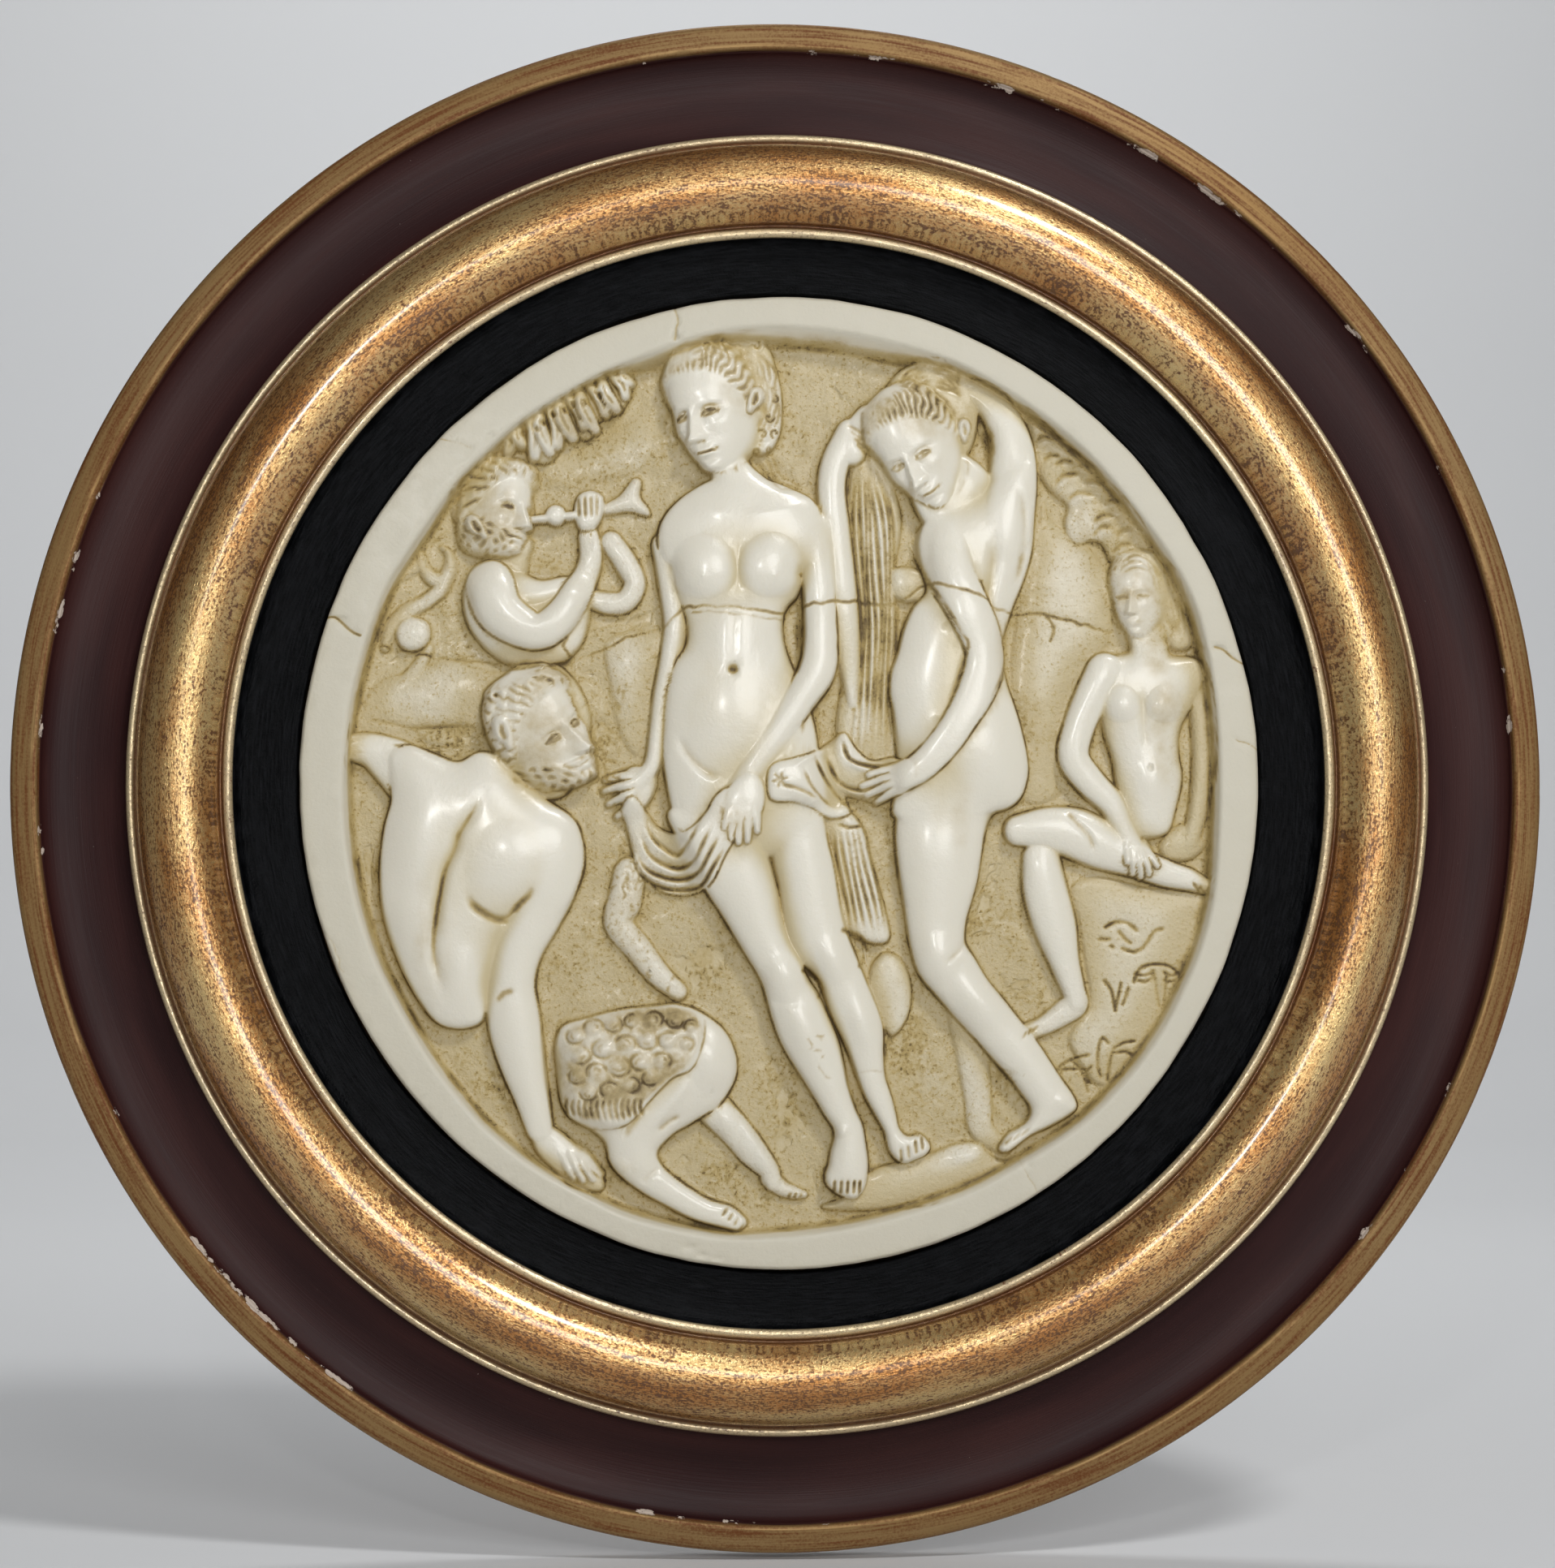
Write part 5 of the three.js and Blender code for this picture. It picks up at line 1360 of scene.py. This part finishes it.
# the flat-topped tree or mushroom, grass and leaves beneath it
swell_at(1411, 1207, 13, 10, 0.6)
swell_at(1444, 1208, 11, 11, 0.6)
for stroke in (
        [(1398, 1214), (1405, 1198), (1422, 1192), (1442, 1194), (1455, 1206), (1452, 1220)],
        [(1400, 1204), (1410, 1206), (1421, 1203)], [(1404, 1212), (1412, 1214), (1420, 1210)],
        [(1436, 1202), (1444, 1206), (1452, 1204)], [(1436, 1212), (1444, 1214), (1450, 1212)],
        [(1422, 1200), (1426, 1220), (1430, 1244)], [(1439, 1206), (1437, 1226), (1435, 1248)],
        [(1361, 1212), (1370, 1224), (1375, 1250)], [(1382, 1216), (1379, 1230), (1375, 1246)],
        [(1391, 1222), (1388, 1232), (1384, 1242)], [(1303, 1321), (1320, 1310), (1342, 1304)],
        [(1303, 1323), (1320, 1322), (1336, 1322)], [(1322, 1311), (1334, 1326), (1341, 1350)],
        [(1366, 1290), (1359, 1283), (1354, 1294), (1353, 1318), (1357, 1332)],
        [(1371, 1300), (1367, 1318), (1365, 1336)], [(1373, 1296), (1385, 1289), (1399, 1287)],
        [(1375, 1302), (1388, 1300), (1396, 1306)], [(1345, 1318), (1338, 1328), (1344, 1340)]):
    scratch(stroke, 1.9, 0.7)
for stroke in (
        [(953, 1366), (948, 1350), (944, 1338)], [(955, 1366), (956, 1348), (954, 1334)],
        [(957, 1366), (963, 1350), (968, 1340)], [(888, 1462), (882, 1448), (876, 1438)],
        [(891, 1462), (892, 1446), (890, 1434)], [(894, 1462), (900, 1448), (906, 1440)],
        [(860, 1450), (876, 1442), (890, 1444)], [(946, 1330), (940, 1318)], [(958, 1330), (966, 1316)]):
    scratch(stroke, 1.3, 0.3, 0.5)
# hatched hollows behind the legs, and hair on the far satyr's leg
for outline, count, seed in (
        ([(1108, 1245), (1150, 1240), (1172, 1290), (1176, 1370), (1150, 1410), (1108, 1400)], 90, 57),
        ([(1222, 1310), (1250, 1330), (1262, 1380), (1240, 1400), (1222, 1380)], 34, 58),
        ([(1000, 1240), (1012, 1300), (1030, 1340), (1014, 1350), (985, 1300)], 12, 59)):
    flecks(outline, count, 15, 24, seed, width=1.2, depth=0.16, stain=0.32)
    flecks(outline, count // 2, 11, -38, seed + 20, width=1.2, depth=0.16, stain=0.3)
flecks([(752, 1070), (792, 1075), (790, 1120), (800, 1170), (838, 1215), (830, 1236), (800, 1215),
        (764, 1170), (742, 1140)], 120, 7, 105, 51, width=1.3, depth=0.25, stain=0.5)
flecks([(500, 904), (590, 904), (586, 930), (545, 938), (508, 922)], 90, 5, 70, 52, width=1.3, depth=0.3,
       stain=0.55)
flecks([(745, 985), (775, 1010), (790, 1075), (770, 1110), (748, 1060)], 70, 10, 80, 53, width=1.5,
       depth=0.3, stain=0.45)
flecks([(722, 850), (765, 850), (762, 930), (742, 995), (720, 960)], 80, 12, 75, 54, width=1.5, depth=0.3,
       stain=0.45)
# soot and old wax that has yellowed the heads, the leaves and the seated bather's far side
for x0, y0, rx, ry, amount in (
        (1410, 738, 40, 52, 0.34), (1428, 800, 22, 40, 0.22), (1440, 900, 26, 70, 0.2),
        (662, 920, 56, 62, 0.2), (602, 640, 48, 48, 0.2), (1160, 520, 66, 40, 0.2),
        (930, 470, 56, 50, 0.16), (690, 520, 90, 44, 0.24), (1350, 630, 80, 70, 0.22),
        (640, 960, 40, 22, 0.2), (1150, 560, 30, 30, 0.12), (780, 1130, 50, 90, 0.18),
        (1250, 780, 26, 60, 0.14), (1180, 1010, 14, 60, 0.12), (1130, 1120, 16, 90, 0.12),
        (900, 1010, 30, 22, 0.14), (530, 1180, 24, 80, 0.16), (720, 1450, 90, 26, 0.16)):
    part, x, y = window(np.array([[x0, y0]]), 1.8 * max(rx, ry))
    darken(part, amount * np.exp(-(((x - x0) / rx) ** 2 + ((y - y0) / ry) ** 2) ** 2))
# knots and gaps in the cloth, and the deep gap between the front bather's arm and waist, cut down near the
# ground and darkened in full: dirt with painted shade in the gap
hole_part, hole_x, hole_y = window(np.array([[982, 779]]), 30)
hole = np.clip(1.25 - np.hypot((hole_x - 982) / 6, (hole_y - 781) / 21) ** 2, 0, 1)
height[hole_part] = height[hole_part] * (1 - hole) + 0.6 * hole
darken(hole_part, np.clip(hole * 1.5, 0, 1))
scratch([(987, 1200), (1001, 1208), (1010, 1222), (1006, 1232)], 2.6, 1.0, 0.95)
scratch([(1036, 1150), (1058, 1160), (1066, 1180), (1057, 1194)], 3.0, 0.8, 0.9)
scratch([(1033, 1020), (1045, 1023), (1057, 1021)], 2.0, 0.8, 0.7)
scratch([(1054, 1326), (1070, 1323), (1086, 1325)], 1.3, 0.25, 0.35)


def crack(points, seed, width=1.3, depth=0.45, stain=0.9):
    """An old glued break: its line wanders by a unit or two, and dirt lies in it."""
    line = flowing(points, spacing=7)
    rng = np.random.default_rng(seed)
    line = line + rng.normal(0, 0.9, line.shape)
    press(line, width, -depth, taper=False, stain=stain)


MAIN_BREAK = [(444, 790), (470, 800), (505, 806), (540, 815), (580, 817), (620, 821), (662, 820),
              (700, 816), (740, 801), (762, 790), (790, 780), (814, 774), (838, 753), (880, 750),
              (905, 751), (940, 756), (965, 758), (992, 748), (1020, 744), (1045, 742), (1100, 745),
              (1140, 722), (1180, 728), (1205, 736), (1236, 754), (1290, 757), (1345, 770), (1372, 778)]
crack(MAIN_BREAK, 61, 1.4, 0.4, 0.75)
crack([(846, 758), (870, 757), (905, 760), (940, 764), (962, 766)], 62, 1.1, 0.25, 0.45)
crack([(545, 812), (600, 830), (640, 826), (700, 822)], 63, 1.1, 0.25, 0.5)
for k, branch in enumerate((
        [(1100, 745), (1112, 760), (1108, 778)], [(1290, 757), (1300, 772), (1296, 790)],
        [(700, 816), (690, 800), (694, 786)], [(1476, 795), (1490, 800), (1505, 801)],
        [(1128, 690), (1134, 706), (1141, 722)])):
    crack(branch, 70 + k, 1.2, 0.35, 0.6)
# Plain rim: flat all round, with a hand-cut inner edge that slopes down to the sunk ground.
INNER_EDGE = [(424, 900), (432, 850), (445, 800), (458, 760), (475, 720), (500, 680), (520, 650),
              (540, 620), (562, 590), (592, 560), (620, 533), (650, 510), (700, 480), (740, 458),
              (780, 442), (820, 426), (860, 413), (900, 405), (960, 402), (1020, 406), (1080, 417),
              (1130, 430), (1180, 447), (1240, 480), (1300, 522), (1350, 567), (1400, 627), (1440, 682),
              (1470, 738), (1488, 800), (1499, 870), (1503, 940), (1502, 1010), (1498, 1080), (1490, 1130),
              (1475, 1180), (1455, 1225), (1435, 1265), (1405, 1310), (1375, 1345), (1340, 1380),
              (1300, 1410), (1240, 1446), (1180, 1476), (1100, 1502), (1030, 1518), (960, 1526),
              (900, 1528), (850, 1521), (800, 1510), (760, 1497), (720, 1477), (680, 1456), (640, 1430),
              (600, 1397), (570, 1364), (530, 1312), (490, 1246), (458, 1180), (436, 1110), (424, 1040),
              (420, 970)]
TALL, SPARE = 8.0, 5.0
# what stands over TALL is pressed down, so that it never passes TALL + SPARE
height = np.where(height > TALL, TALL + SPARE * np.tanh((height - TALL) / SPARE), height)
height = soft(height, 1) * 0.5 + box_blur(height, 1) * 0.5
edge_line = flowing(INNER_EDGE, closed=True, spacing=12)
EDGE_REACH = 60.0
part, x, y, away, _ = nearness(edge_line, EDGE_REACH, closed=True)
within = inside(edge_line, x, y)
edge_depth = np.full(GRID_SHAPE, EDGE_REACH, np.float32)
edge_depth[part] = np.where(within, away, -away)
everywhere_x = GRID_START[0] + GRAIN * np.arange(GRID_SHAPE[1])[None, :]
everywhere_y = GRID_START[1] + GRAIN * np.arange(GRID_SHAPE[0])[:, None]
upward = np.clip((700 - everywhere_y) / 260, 0, 1) * np.clip((everywhere_x - 760) / 60, 0, 1)
slope_width = 9 + 11 * upward * np.clip((1180 - everywhere_x) / 80, 0, 1)
outside = edge_depth <= 0
slope = np.clip(edge_depth / slope_width, 0, 1)
wall = RIM_HEIGHT * (1 - slope) ** 0.8
wavy = 0.05 * mottled(40, 8) + 0.03 * mottled(14, 9) + 0.012 * mottled(4, 10)
height = np.where(outside, RIM_HEIGHT + wavy, np.maximum(height, wall)).astype(np.float32)
fillet = np.clip(1 - np.abs(edge_depth) / 5, 0, 1)
height -= 0.5 * fillet**2
dirt_and_shade *= np.clip(edge_depth / 4 + 0.2, 0, 1)
# painted shade on the rim's inner slope, and a dark line at its foot that is partly dirt and partly painted
# shade
darken(..., 0.55 * np.exp(-((edge_depth - slope_width) / 3.5) ** 2) * (height < 4))
darken(..., 0.3 * np.clip(1 - np.abs(edge_depth - 0.6 * slope_width) / (0.5 * slope_width), 0, 1))
# rough, dirt-speckled ground between the smooth figures
rough = np.clip(1 - (height - 0.6) / 2.4, 0, 1) * (edge_depth > 4)
stipple = 0.7 * mottled(2.6, 11) + 0.5 * mottled(4.8, 12)
height += rough * (0.075 * stipple + 0.30 * mottled(46, 13) + 0.16 * mottled(20, 14))
height = np.where(edge_depth > 2, np.maximum(height, 0.5 * soft(height, 5)), height)
soiled = np.clip(0.5 + 0.6 * mottled(34, 15), 0.1, 1.2)
darken(..., rough * np.clip(soiled * (0.17 + 0.24 * stipple), 0, 0.6))
# breaks across the rim, and chips along the plaque's edge and at the glued joints
for k, split in enumerate((
        [(829, 362), (828, 380), (830, 398), (826, 420)], [(392, 768), (408, 766), (424, 778), (440, 790)],
        [(1496, 798), (1512, 806), (1528, 818), (1550, 826)], [(538, 545), (556, 548), (576, 556)],
        [(1524, 914), (1536, 918), (1552, 928)], [(1250, 1428), (1260, 1448), (1274, 1470)],
        [(392, 1148), (406, 1160), (414, 1180), (422, 1202)])):
    crack(split, 80 + k, 1.3 if k < 3 else 0.9, 0.45 if k < 3 else 0.2, 0.85 if k < 3 else 0.35)
for x0, y0, rx, ry, deep in (
        (414, 768, 12, 5, 0.5), (846, 1538, 10, 5, 0.4), (862, 1548, 8, 4, 0.4), (1502, 800, 9, 5, 0.5),
        (828, 416, 6, 5, 0.6), (880, 1552, 9, 4, 0.3), (1262, 1440, 6, 5, 0.3), (600, 540, 6, 3, 0.3)):
    swell_at(x0, y0, rx, ry, -deep, sharp=0.8)
# The stone itself: the carving spread over a fine oval sheet, with a hand-sawn edge and a flat back.
PLAQUE_BACK = RABBET_OUT
GROUND_OUT = PLAQUE_BACK + 8.0


def oval_sheet(cells):
    """A square grid bent to a unit disc of even cells: rings of squares become rings of circles."""
    a, b = np.meshgrid(np.linspace(-1, 1, cells + 1), np.linspace(-1, 1, cells + 1))
    wide = np.abs(a) > np.abs(b)
    radius = np.where(wide, a, b)
    with np.errstate(divide="ignore", invalid="ignore"):
        angle = np.where(wide, np.pi / 4 * b / a, np.pi / 2 - np.pi / 4 * a / b)
    angle = np.nan_to_num(angle)
    return radius * np.cos(angle), radius * np.sin(angle)


def build_plaque(cells, target):
    """The plaque's closed mesh, thinned to target triangles where the surface is plain."""
    u, v = oval_sheet(cells)
    angle = np.arctan2(v, u)
    ragged = wander(angle, 41, 30, 0.0008) + wander(angle, 42, 90, 0.0005)
    drawn = DRAWING_CENTRE + np.stack([u, -v], -1) * PLAQUE_HALF * (1 + ragged)[..., None]
    rows, columns = ((drawn[..., k] - GRID_START[k]) / GRAIN for k in (1, 0))
    out = blend_grid(height, rows, columns) + GROUND_OUT
    share = np.hypot(u, v)
    chipped = 0.9 + 0.5 * np.abs(wander(angle, 43, 60, 0.5))
    out = out - chipped * np.clip((share - 0.993) / 0.007, 0, 1) ** 1.5
    x = (drawn[..., 0] - DRAWING_CENTRE[0]) * DRAWING_UNIT
    z = (DRAWING_CENTRE[1] - drawn[..., 1]) * DRAWING_UNIT
    front = np.stack([x, -out * MM, z + CENTRE_Z], -1).reshape(-1, 3)
    side = cells + 1
    number = np.arange(side * side).reshape(side, side)
    faces = np.stack([number[:-1, :-1], number[:-1, 1:], number[1:, 1:], number[1:, :-1]], -1)
    faces = faces.reshape(-1, 4)
    edge = np.concatenate([number[0, :-1], number[:-1, -1], number[-1, :0:-1], number[:0:-1, 0]])
    layers = [front]
    previous, count = edge, len(front)
    rings = []
    edge_steps = [(20.0, 1.0), (12.0, 0.999), (PLAQUE_BACK + 0.4, 0.998), (PLAQUE_BACK, 0.995)]
    back_steps = [(PLAQUE_BACK, shrink) for shrink in np.linspace(0.9, 0.1, 7)]
    for out_mm, shrink in edge_steps + back_steps:
        ring = front[edge] * [shrink, 0, shrink] + [0, -out_mm * MM, (1 - shrink) * CENTRE_Z]
        current = count + np.arange(len(edge))
        rings.append(np.stack([previous, current, np.roll(current, -1), np.roll(previous, -1)], -1))
        layers.append(ring)
        previous, count = current, count + len(edge)
    layers.append(np.array([[0, -PLAQUE_BACK * MM, CENTRE_Z]]))
    hub = np.stack([previous, np.full(len(edge), count), np.roll(previous, -1)], -1)
    quads = np.vstack([faces] + rings)
    triangles = np.vstack([quads[:, [0, 1, 2]], quads[:, [0, 2, 3]], hub])
    piece = add_piece("alabaster_plaque", np.vstack(layers), triangles, [])
    thin = piece.modifiers.new("thin", "DECIMATE")
    thin.ratio = target / len(triangles)
    graph = bpy.context.evaluated_depsgraph_get()
    thinned = bpy.data.meshes.new_from_object(piece.evaluated_get(graph))
    piece.modifiers.clear()
    old = piece.data
    piece.data = thinned
    thinned.name = "alabaster_plaque"
    bpy.data.meshes.remove(old)
    return piece


def colour_marks(piece):
    """Carry the dirt and painted shade, the hollows and the high places to the mesh as one value at each
    point.
    """
    mesh = piece.data
    points = np.empty(len(mesh.vertices) * 3, np.float32)
    mesh.vertices.foreach_get("co", points)
    points = points.reshape(-1, 3)
    columns = (points[:, 0] / DRAWING_UNIT + DRAWING_CENTRE[0] - GRID_START[0]) / GRAIN
    rows = (DRAWING_CENTRE[1] - (points[:, 2] - CENTRE_Z) / DRAWING_UNIT - GRID_START[1]) / GRAIN
    hollow = np.clip((soft(height, 5) - height) / 1.6, -1, 1)
    broad_hollow = np.clip((soft(height, 24) - height) / 4.0, -1, 1)
    low = np.clip(1.05 - height / 6.0, 0, 1)
    rim_face = soft((edge_depth < 1).astype(np.float32), 2)
    front = points[:, 1] < -(GROUND_OUT + 0.05) * MM
    for name, field in (("dirt_and_shade", dirt_and_shade), ("hollow", hollow), ("broad_hollow", broad_hollow), ("ground", low),
                        ("sawn", rim_face)):
        values = blend_grid(field.astype(np.float32), rows, columns)
        values = np.where(front, values, 0.2).astype(np.float32)
        mesh.attributes.new(name, "FLOAT", "POINT").data.foreach_set("value", values)
    mesh.polygons.foreach_set("use_smooth", np.ones(len(mesh.polygons), bool))


IVORY = (0.64, 0.55, 0.345)
IVORY_PALE = (0.80, 0.76, 0.645)
SAWN = (0.61, 0.57, 0.455)
HONEY = (0.56, 0.46, 0.26)
AMBER = (0.44, 0.315, 0.095)
UMBER = (0.10, 0.06, 0.018)


def make_alabaster():
    """Polished ivory stone: paler on the heights and honey in the hollows, partly its own wear and patina
    and partly painted shade; honey in the ground, and umber dirt in the creases, with umber painted shade
    in a few places.
    """
    material, tree, shader = new_material(
        "polished_alabaster", Subsurface_Weight=0.05, Subsurface_Scale=0.002, Coat_Roughness=0.16)
    shader.inputs["Subsurface Radius"].default_value = (1.0, 0.75, 0.45)
    marks = {name: plug(tree, "Attribute", attribute_name=name, out=2) for name in
             ("dirt_and_shade", "hollow", "broad_hollow", "ground", "sawn")}
    place = object_place(tree)
    cloud = vary(tree, place, 26.0, 4.0, 0.6)
    grain = vary(tree, place, 260.0, 5.0, 0.7)
    fine = vary(tree, place, 900.0, 3.0, 0.6)
    # paler where the surface stands above its surroundings: partly the stone's own wear, partly painted
    # light on the heights
    worn = scaled(tree, marks["broad_hollow"], -1.2, scaled(tree, cloud, 0.5, -0.06))
    stone = tint(tree, band(tree, worn, -0.1, 0.42), IVORY, IVORY_PALE)
    stone = tint(tree, times(tree, marks["sawn"], 0.85), stone, SAWN)
    # honey where the surface lies below its surroundings: partly the stone's own patina, partly painted
    # shade in the hollows
    honey_patina_and_shade = times(tree, marks["ground"], scaled(tree, grain, 0.8, 0.35))
    sunk = math_node(tree, "MAXIMUM", marks["hollow"], 0.0)
    honey_patina_and_shade = scaled(tree, math_node(tree, "MAXIMUM", marks["broad_hollow"], 0.0), 1.1, honey_patina_and_shade)
    honey_patina_and_shade = plus(tree, honey_patina_and_shade, times(tree, sunk, 0.6))
    stone = tint(tree, band(tree, honey_patina_and_shade, 0.05, 1.0, 0.0, 0.95), stone, HONEY)
    # the dirt grid with its painted shade, and a little painted shade from the hollows, turns the stone
    # amber and umber
    soil_and_shade = plus(tree, marks["dirt_and_shade"], times(tree, sunk, 0.12))
    patchy = band(tree, vary(tree, place, 62.0, 3.0, 0.6), 0.36, 0.64, 0.45, 1.25)
    soil_and_shade = times(tree, soil_and_shade, scaled(tree, grain, 1.3, 0.35))
    soil_and_shade = times(tree, soil_and_shade, patchy)
    speck = times(tree, band(tree, fine, 0.52, 0.70), marks["ground"])
    soil_and_shade = plus(tree, soil_and_shade, times(tree, speck, 0.4))
    stone = tint(tree, band(tree, soil_and_shade, 0.0, 0.45, 0.0, 0.8), stone, AMBER)
    stone = tint(tree, band(tree, soil_and_shade, 0.25, 1.0, 0.0, 0.96), stone, UMBER)
    feed(tree, shader, Base_Color=stone)
    dull = math_node(tree, "MAXIMUM", marks["sawn"], times(tree, marks["ground"], 0.7))
    rough = scaled(tree, dull, 0.16, band(tree, soil_and_shade, 0.0, 0.6, 0.34, 0.6))
    feed(tree, shader, Roughness=rough)
    coat = scaled(tree, dull, -0.22, 0.26)
    coat = times(tree, coat, band(tree, soil_and_shade, 0.1, 0.5, 1.0, 0.0))
    feed(tree, shader, Coat_Weight=coat)
    tooled = plus(tree, grain, times(tree, fine, 0.7))
    relief(tree, shader, times(tree, tooled, scaled(tree, marks["ground"], 0.8, 0.2)),
           0.9, 0.65)
    return material


SHEET_CELLS = 760
PLAQUE_TRIANGLES = 195000
plaque = build_plaque(SHEET_CELLS, PLAQUE_TRIANGLES)
colour_marks(plaque)
plaque.data.materials.append(make_alabaster())
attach(plaque, "root")
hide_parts("alabaster_relief")
# Back board, hanging plate, screws and nails: pine boards nailed into the rabbet, and a brass strap
# with a round eye on two screws. They keep their own shapes and get their finishes here.
SOFTWOOD = (0.30, 0.19, 0.095)
SOFTWOOD_DARK = (0.19, 0.11, 0.05)
SOFTWOOD_FIBRE = (0.12, 0.07, 0.035)


def make_board_finish():
    """Bare boards with upright grain: noise drawn out ten times along Z, with finer fibres over it."""
    material, tree, shader = new_material("bare_softwood")
    place = object_place(tree)
    long_way = plug(tree, "VectorMath", place, (90.0, 90.0, 9.0), operation="MULTIPLY")
    rings = vary(tree, long_way, 1.0, 4.0, 0.55, 1.2)
    fibres = vary(tree, plug(tree, "VectorMath", place, (900.0, 900.0, 30.0), operation="MULTIPLY"), 1.0,
                  3.0)
    colour = tint(tree, band(tree, rings, 0.35, 0.7), SOFTWOOD, SOFTWOOD_DARK)
    colour = tint(tree, band(tree, fibres, 0.45, 0.8, 0.0, 0.5), colour, SOFTWOOD_FIBRE)
    feed(tree, shader, Base_Color=colour)
    feed(tree, shader, Roughness=band(tree, fibres, 0.2, 0.8, 0.7, 0.9))
    relief(tree, shader, plus(tree, rings, fibres), 0.5, 0.3)
    return material


def make_metal(name, bright, tarnish, metallic, rough):
    """Sheet or wrought metal that has gone dull and dark in patches."""
    material, tree, shader = new_material(name, Metallic=metallic)
    place = object_place(tree)
    patches = vary(tree, place, 140.0, 5.0, 0.65)
    feed(tree, shader, Base_Color=tint(tree, band(tree, patches, 0.4, 0.68), bright, tarnish))
    feed(tree, shader, Roughness=band(tree, patches, 0.3, 0.7, rough, rough + 0.3))
    relief(tree, shader, vary(tree, place, 900.0, 3.0), 0.3, 0.1)
    return material


board_finish = make_board_finish()
plate_finish = make_metal("tarnished_brass", (0.62, 0.43, 0.17), (0.2, 0.115, 0.045), 0.95, 0.3)
nail_finish = make_metal("rusted_iron", (0.14, 0.11, 0.095), (0.09, 0.04, 0.02), 0.6, 0.5)
for name, finish in (("back_board", board_finish), ("hanging_plate", plate_finish),
                     ("plate_screw_1", plate_finish),
                     ("plate_screw_2", plate_finish),
                     *((f"board_nail_{k}", nail_finish) for k in range(1, 7))):
    for material_slot in bpy.data.objects[name].material_slots:
        material_slot.material = finish

# Floor, soft light and camera: a sheet of pale paper, a lamp high on the right with weaker ones round
# it, and a camera that looks up very slightly from the left of the tondo's middle.
def make_stage():
    """A sheet of pale paper that lies flat under the tondo and curves up far behind it."""
    depth = np.array([-6.0, -3.0, 0.0, 1.6, 2.0, 2.3, 2.5, 2.62, 2.68, 2.7, 2.7])
    rise = np.array([0.0, 0.0, 0.0, 0.0, 0.03, 0.12, 0.3, 0.55, 0.85, 1.3, 5.0])
    floor_z = CENTRE_Z - FRAME_RADIUS - 0.002
    x = np.array([-6.0, 6.0])
    points = np.array([(side, y, floor_z + z) for side in x for y, z in zip(depth, rise)])
    j = np.arange(len(depth) - 1)
    faces = np.stack([j, j + len(depth), j + len(depth) + 1, j + 1], -1)
    material, _, _ = new_material("pale_paper", Base_Color=(0.80, 0.81, 0.82, 1.0), Roughness=0.9)
    sheet = add_piece("pale_floor", points, faces, [material])


make_stage()


def soft_light(name, place, aim, width, watts, colour=(1.0, 1.0, 1.0)):
    """A round soft lamp at place, turned towards aim."""
    lamp = bpy.data.lights.new(name, "AREA")
    lamp.shape = "DISK"
    lamp.size = width
    lamp.energy = watts
    lamp.color = colour
    holder = bpy.data.objects.new(name, lamp)
    holder.location = place
    holder.rotation_euler = (Vector(aim) - Vector(place)).to_track_quat("-Z", "Y").to_euler()
    bpy.context.collection.objects.link(holder)


middle = Vector((0.0, -0.026, CENTRE_Z))
soft_light("key_light", middle + Vector((0.85, -1.6, 1.78)), middle, 0.42, 22.5)
soft_light("left_light", middle + Vector((-1.4, -0.9, -0.6)), middle, 0.5, 6.3, (0.92, 0.9, 1.0))
soft_light("front_light", middle + Vector((0.3, -1.5, 0.35)), middle, 0.45, 6.5)
soft_light("small_light", middle + Vector((-0.15, -1.4, 0.25)), middle, 0.05, 2.2)
soft_light("backdrop_light", middle + Vector((0.0, 0.9, 1.9)), middle + Vector((0.0, 2.7, 0.1)), 1.2, 25.0)
world = bpy.data.worlds.new("pale_room")
world.use_nodes = True
world.node_tree.nodes["Background"].inputs["Color"].default_value = (0.80, 0.82, 0.85, 1.0)
world.node_tree.nodes["Background"].inputs["Strength"].default_value = 0.1
bpy.context.scene.world = world
bpy.context.scene.view_settings.view_transform = "Standard"

CAMERA_DISTANCE = 1.10
IMAGE_HEIGHT = 1932
PIXELS_TO_FRAME_EDGE = 945.2
camera_data = bpy.data.cameras.new("camera")
camera_data.sensor_fit = "VERTICAL"
camera_data.sensor_height = 36.0
per_pixel = camera_data.sensor_height / IMAGE_HEIGHT
camera_data.lens = PIXELS_TO_FRAME_EDGE * CAMERA_DISTANCE / FRAME_RADIUS * per_pixel
camera = bpy.data.objects.new("camera", camera_data)
# it stands 2.3 degrees to the left of the middle and 3.07 degrees below it
left, below = np.sin(np.radians([2.3, 3.07]))
camera.location = middle + Vector((-left, -np.sqrt(1 - left**2 - below**2), -below)) * CAMERA_DISTANCE
aim = middle + Vector((-0.0013, 0.0, -0.0014))
camera.rotation_euler = (aim - camera.location).to_track_quat("-Z", "Y").to_euler()
bpy.context.collection.objects.link(camera)
bpy.context.scene.camera = camera
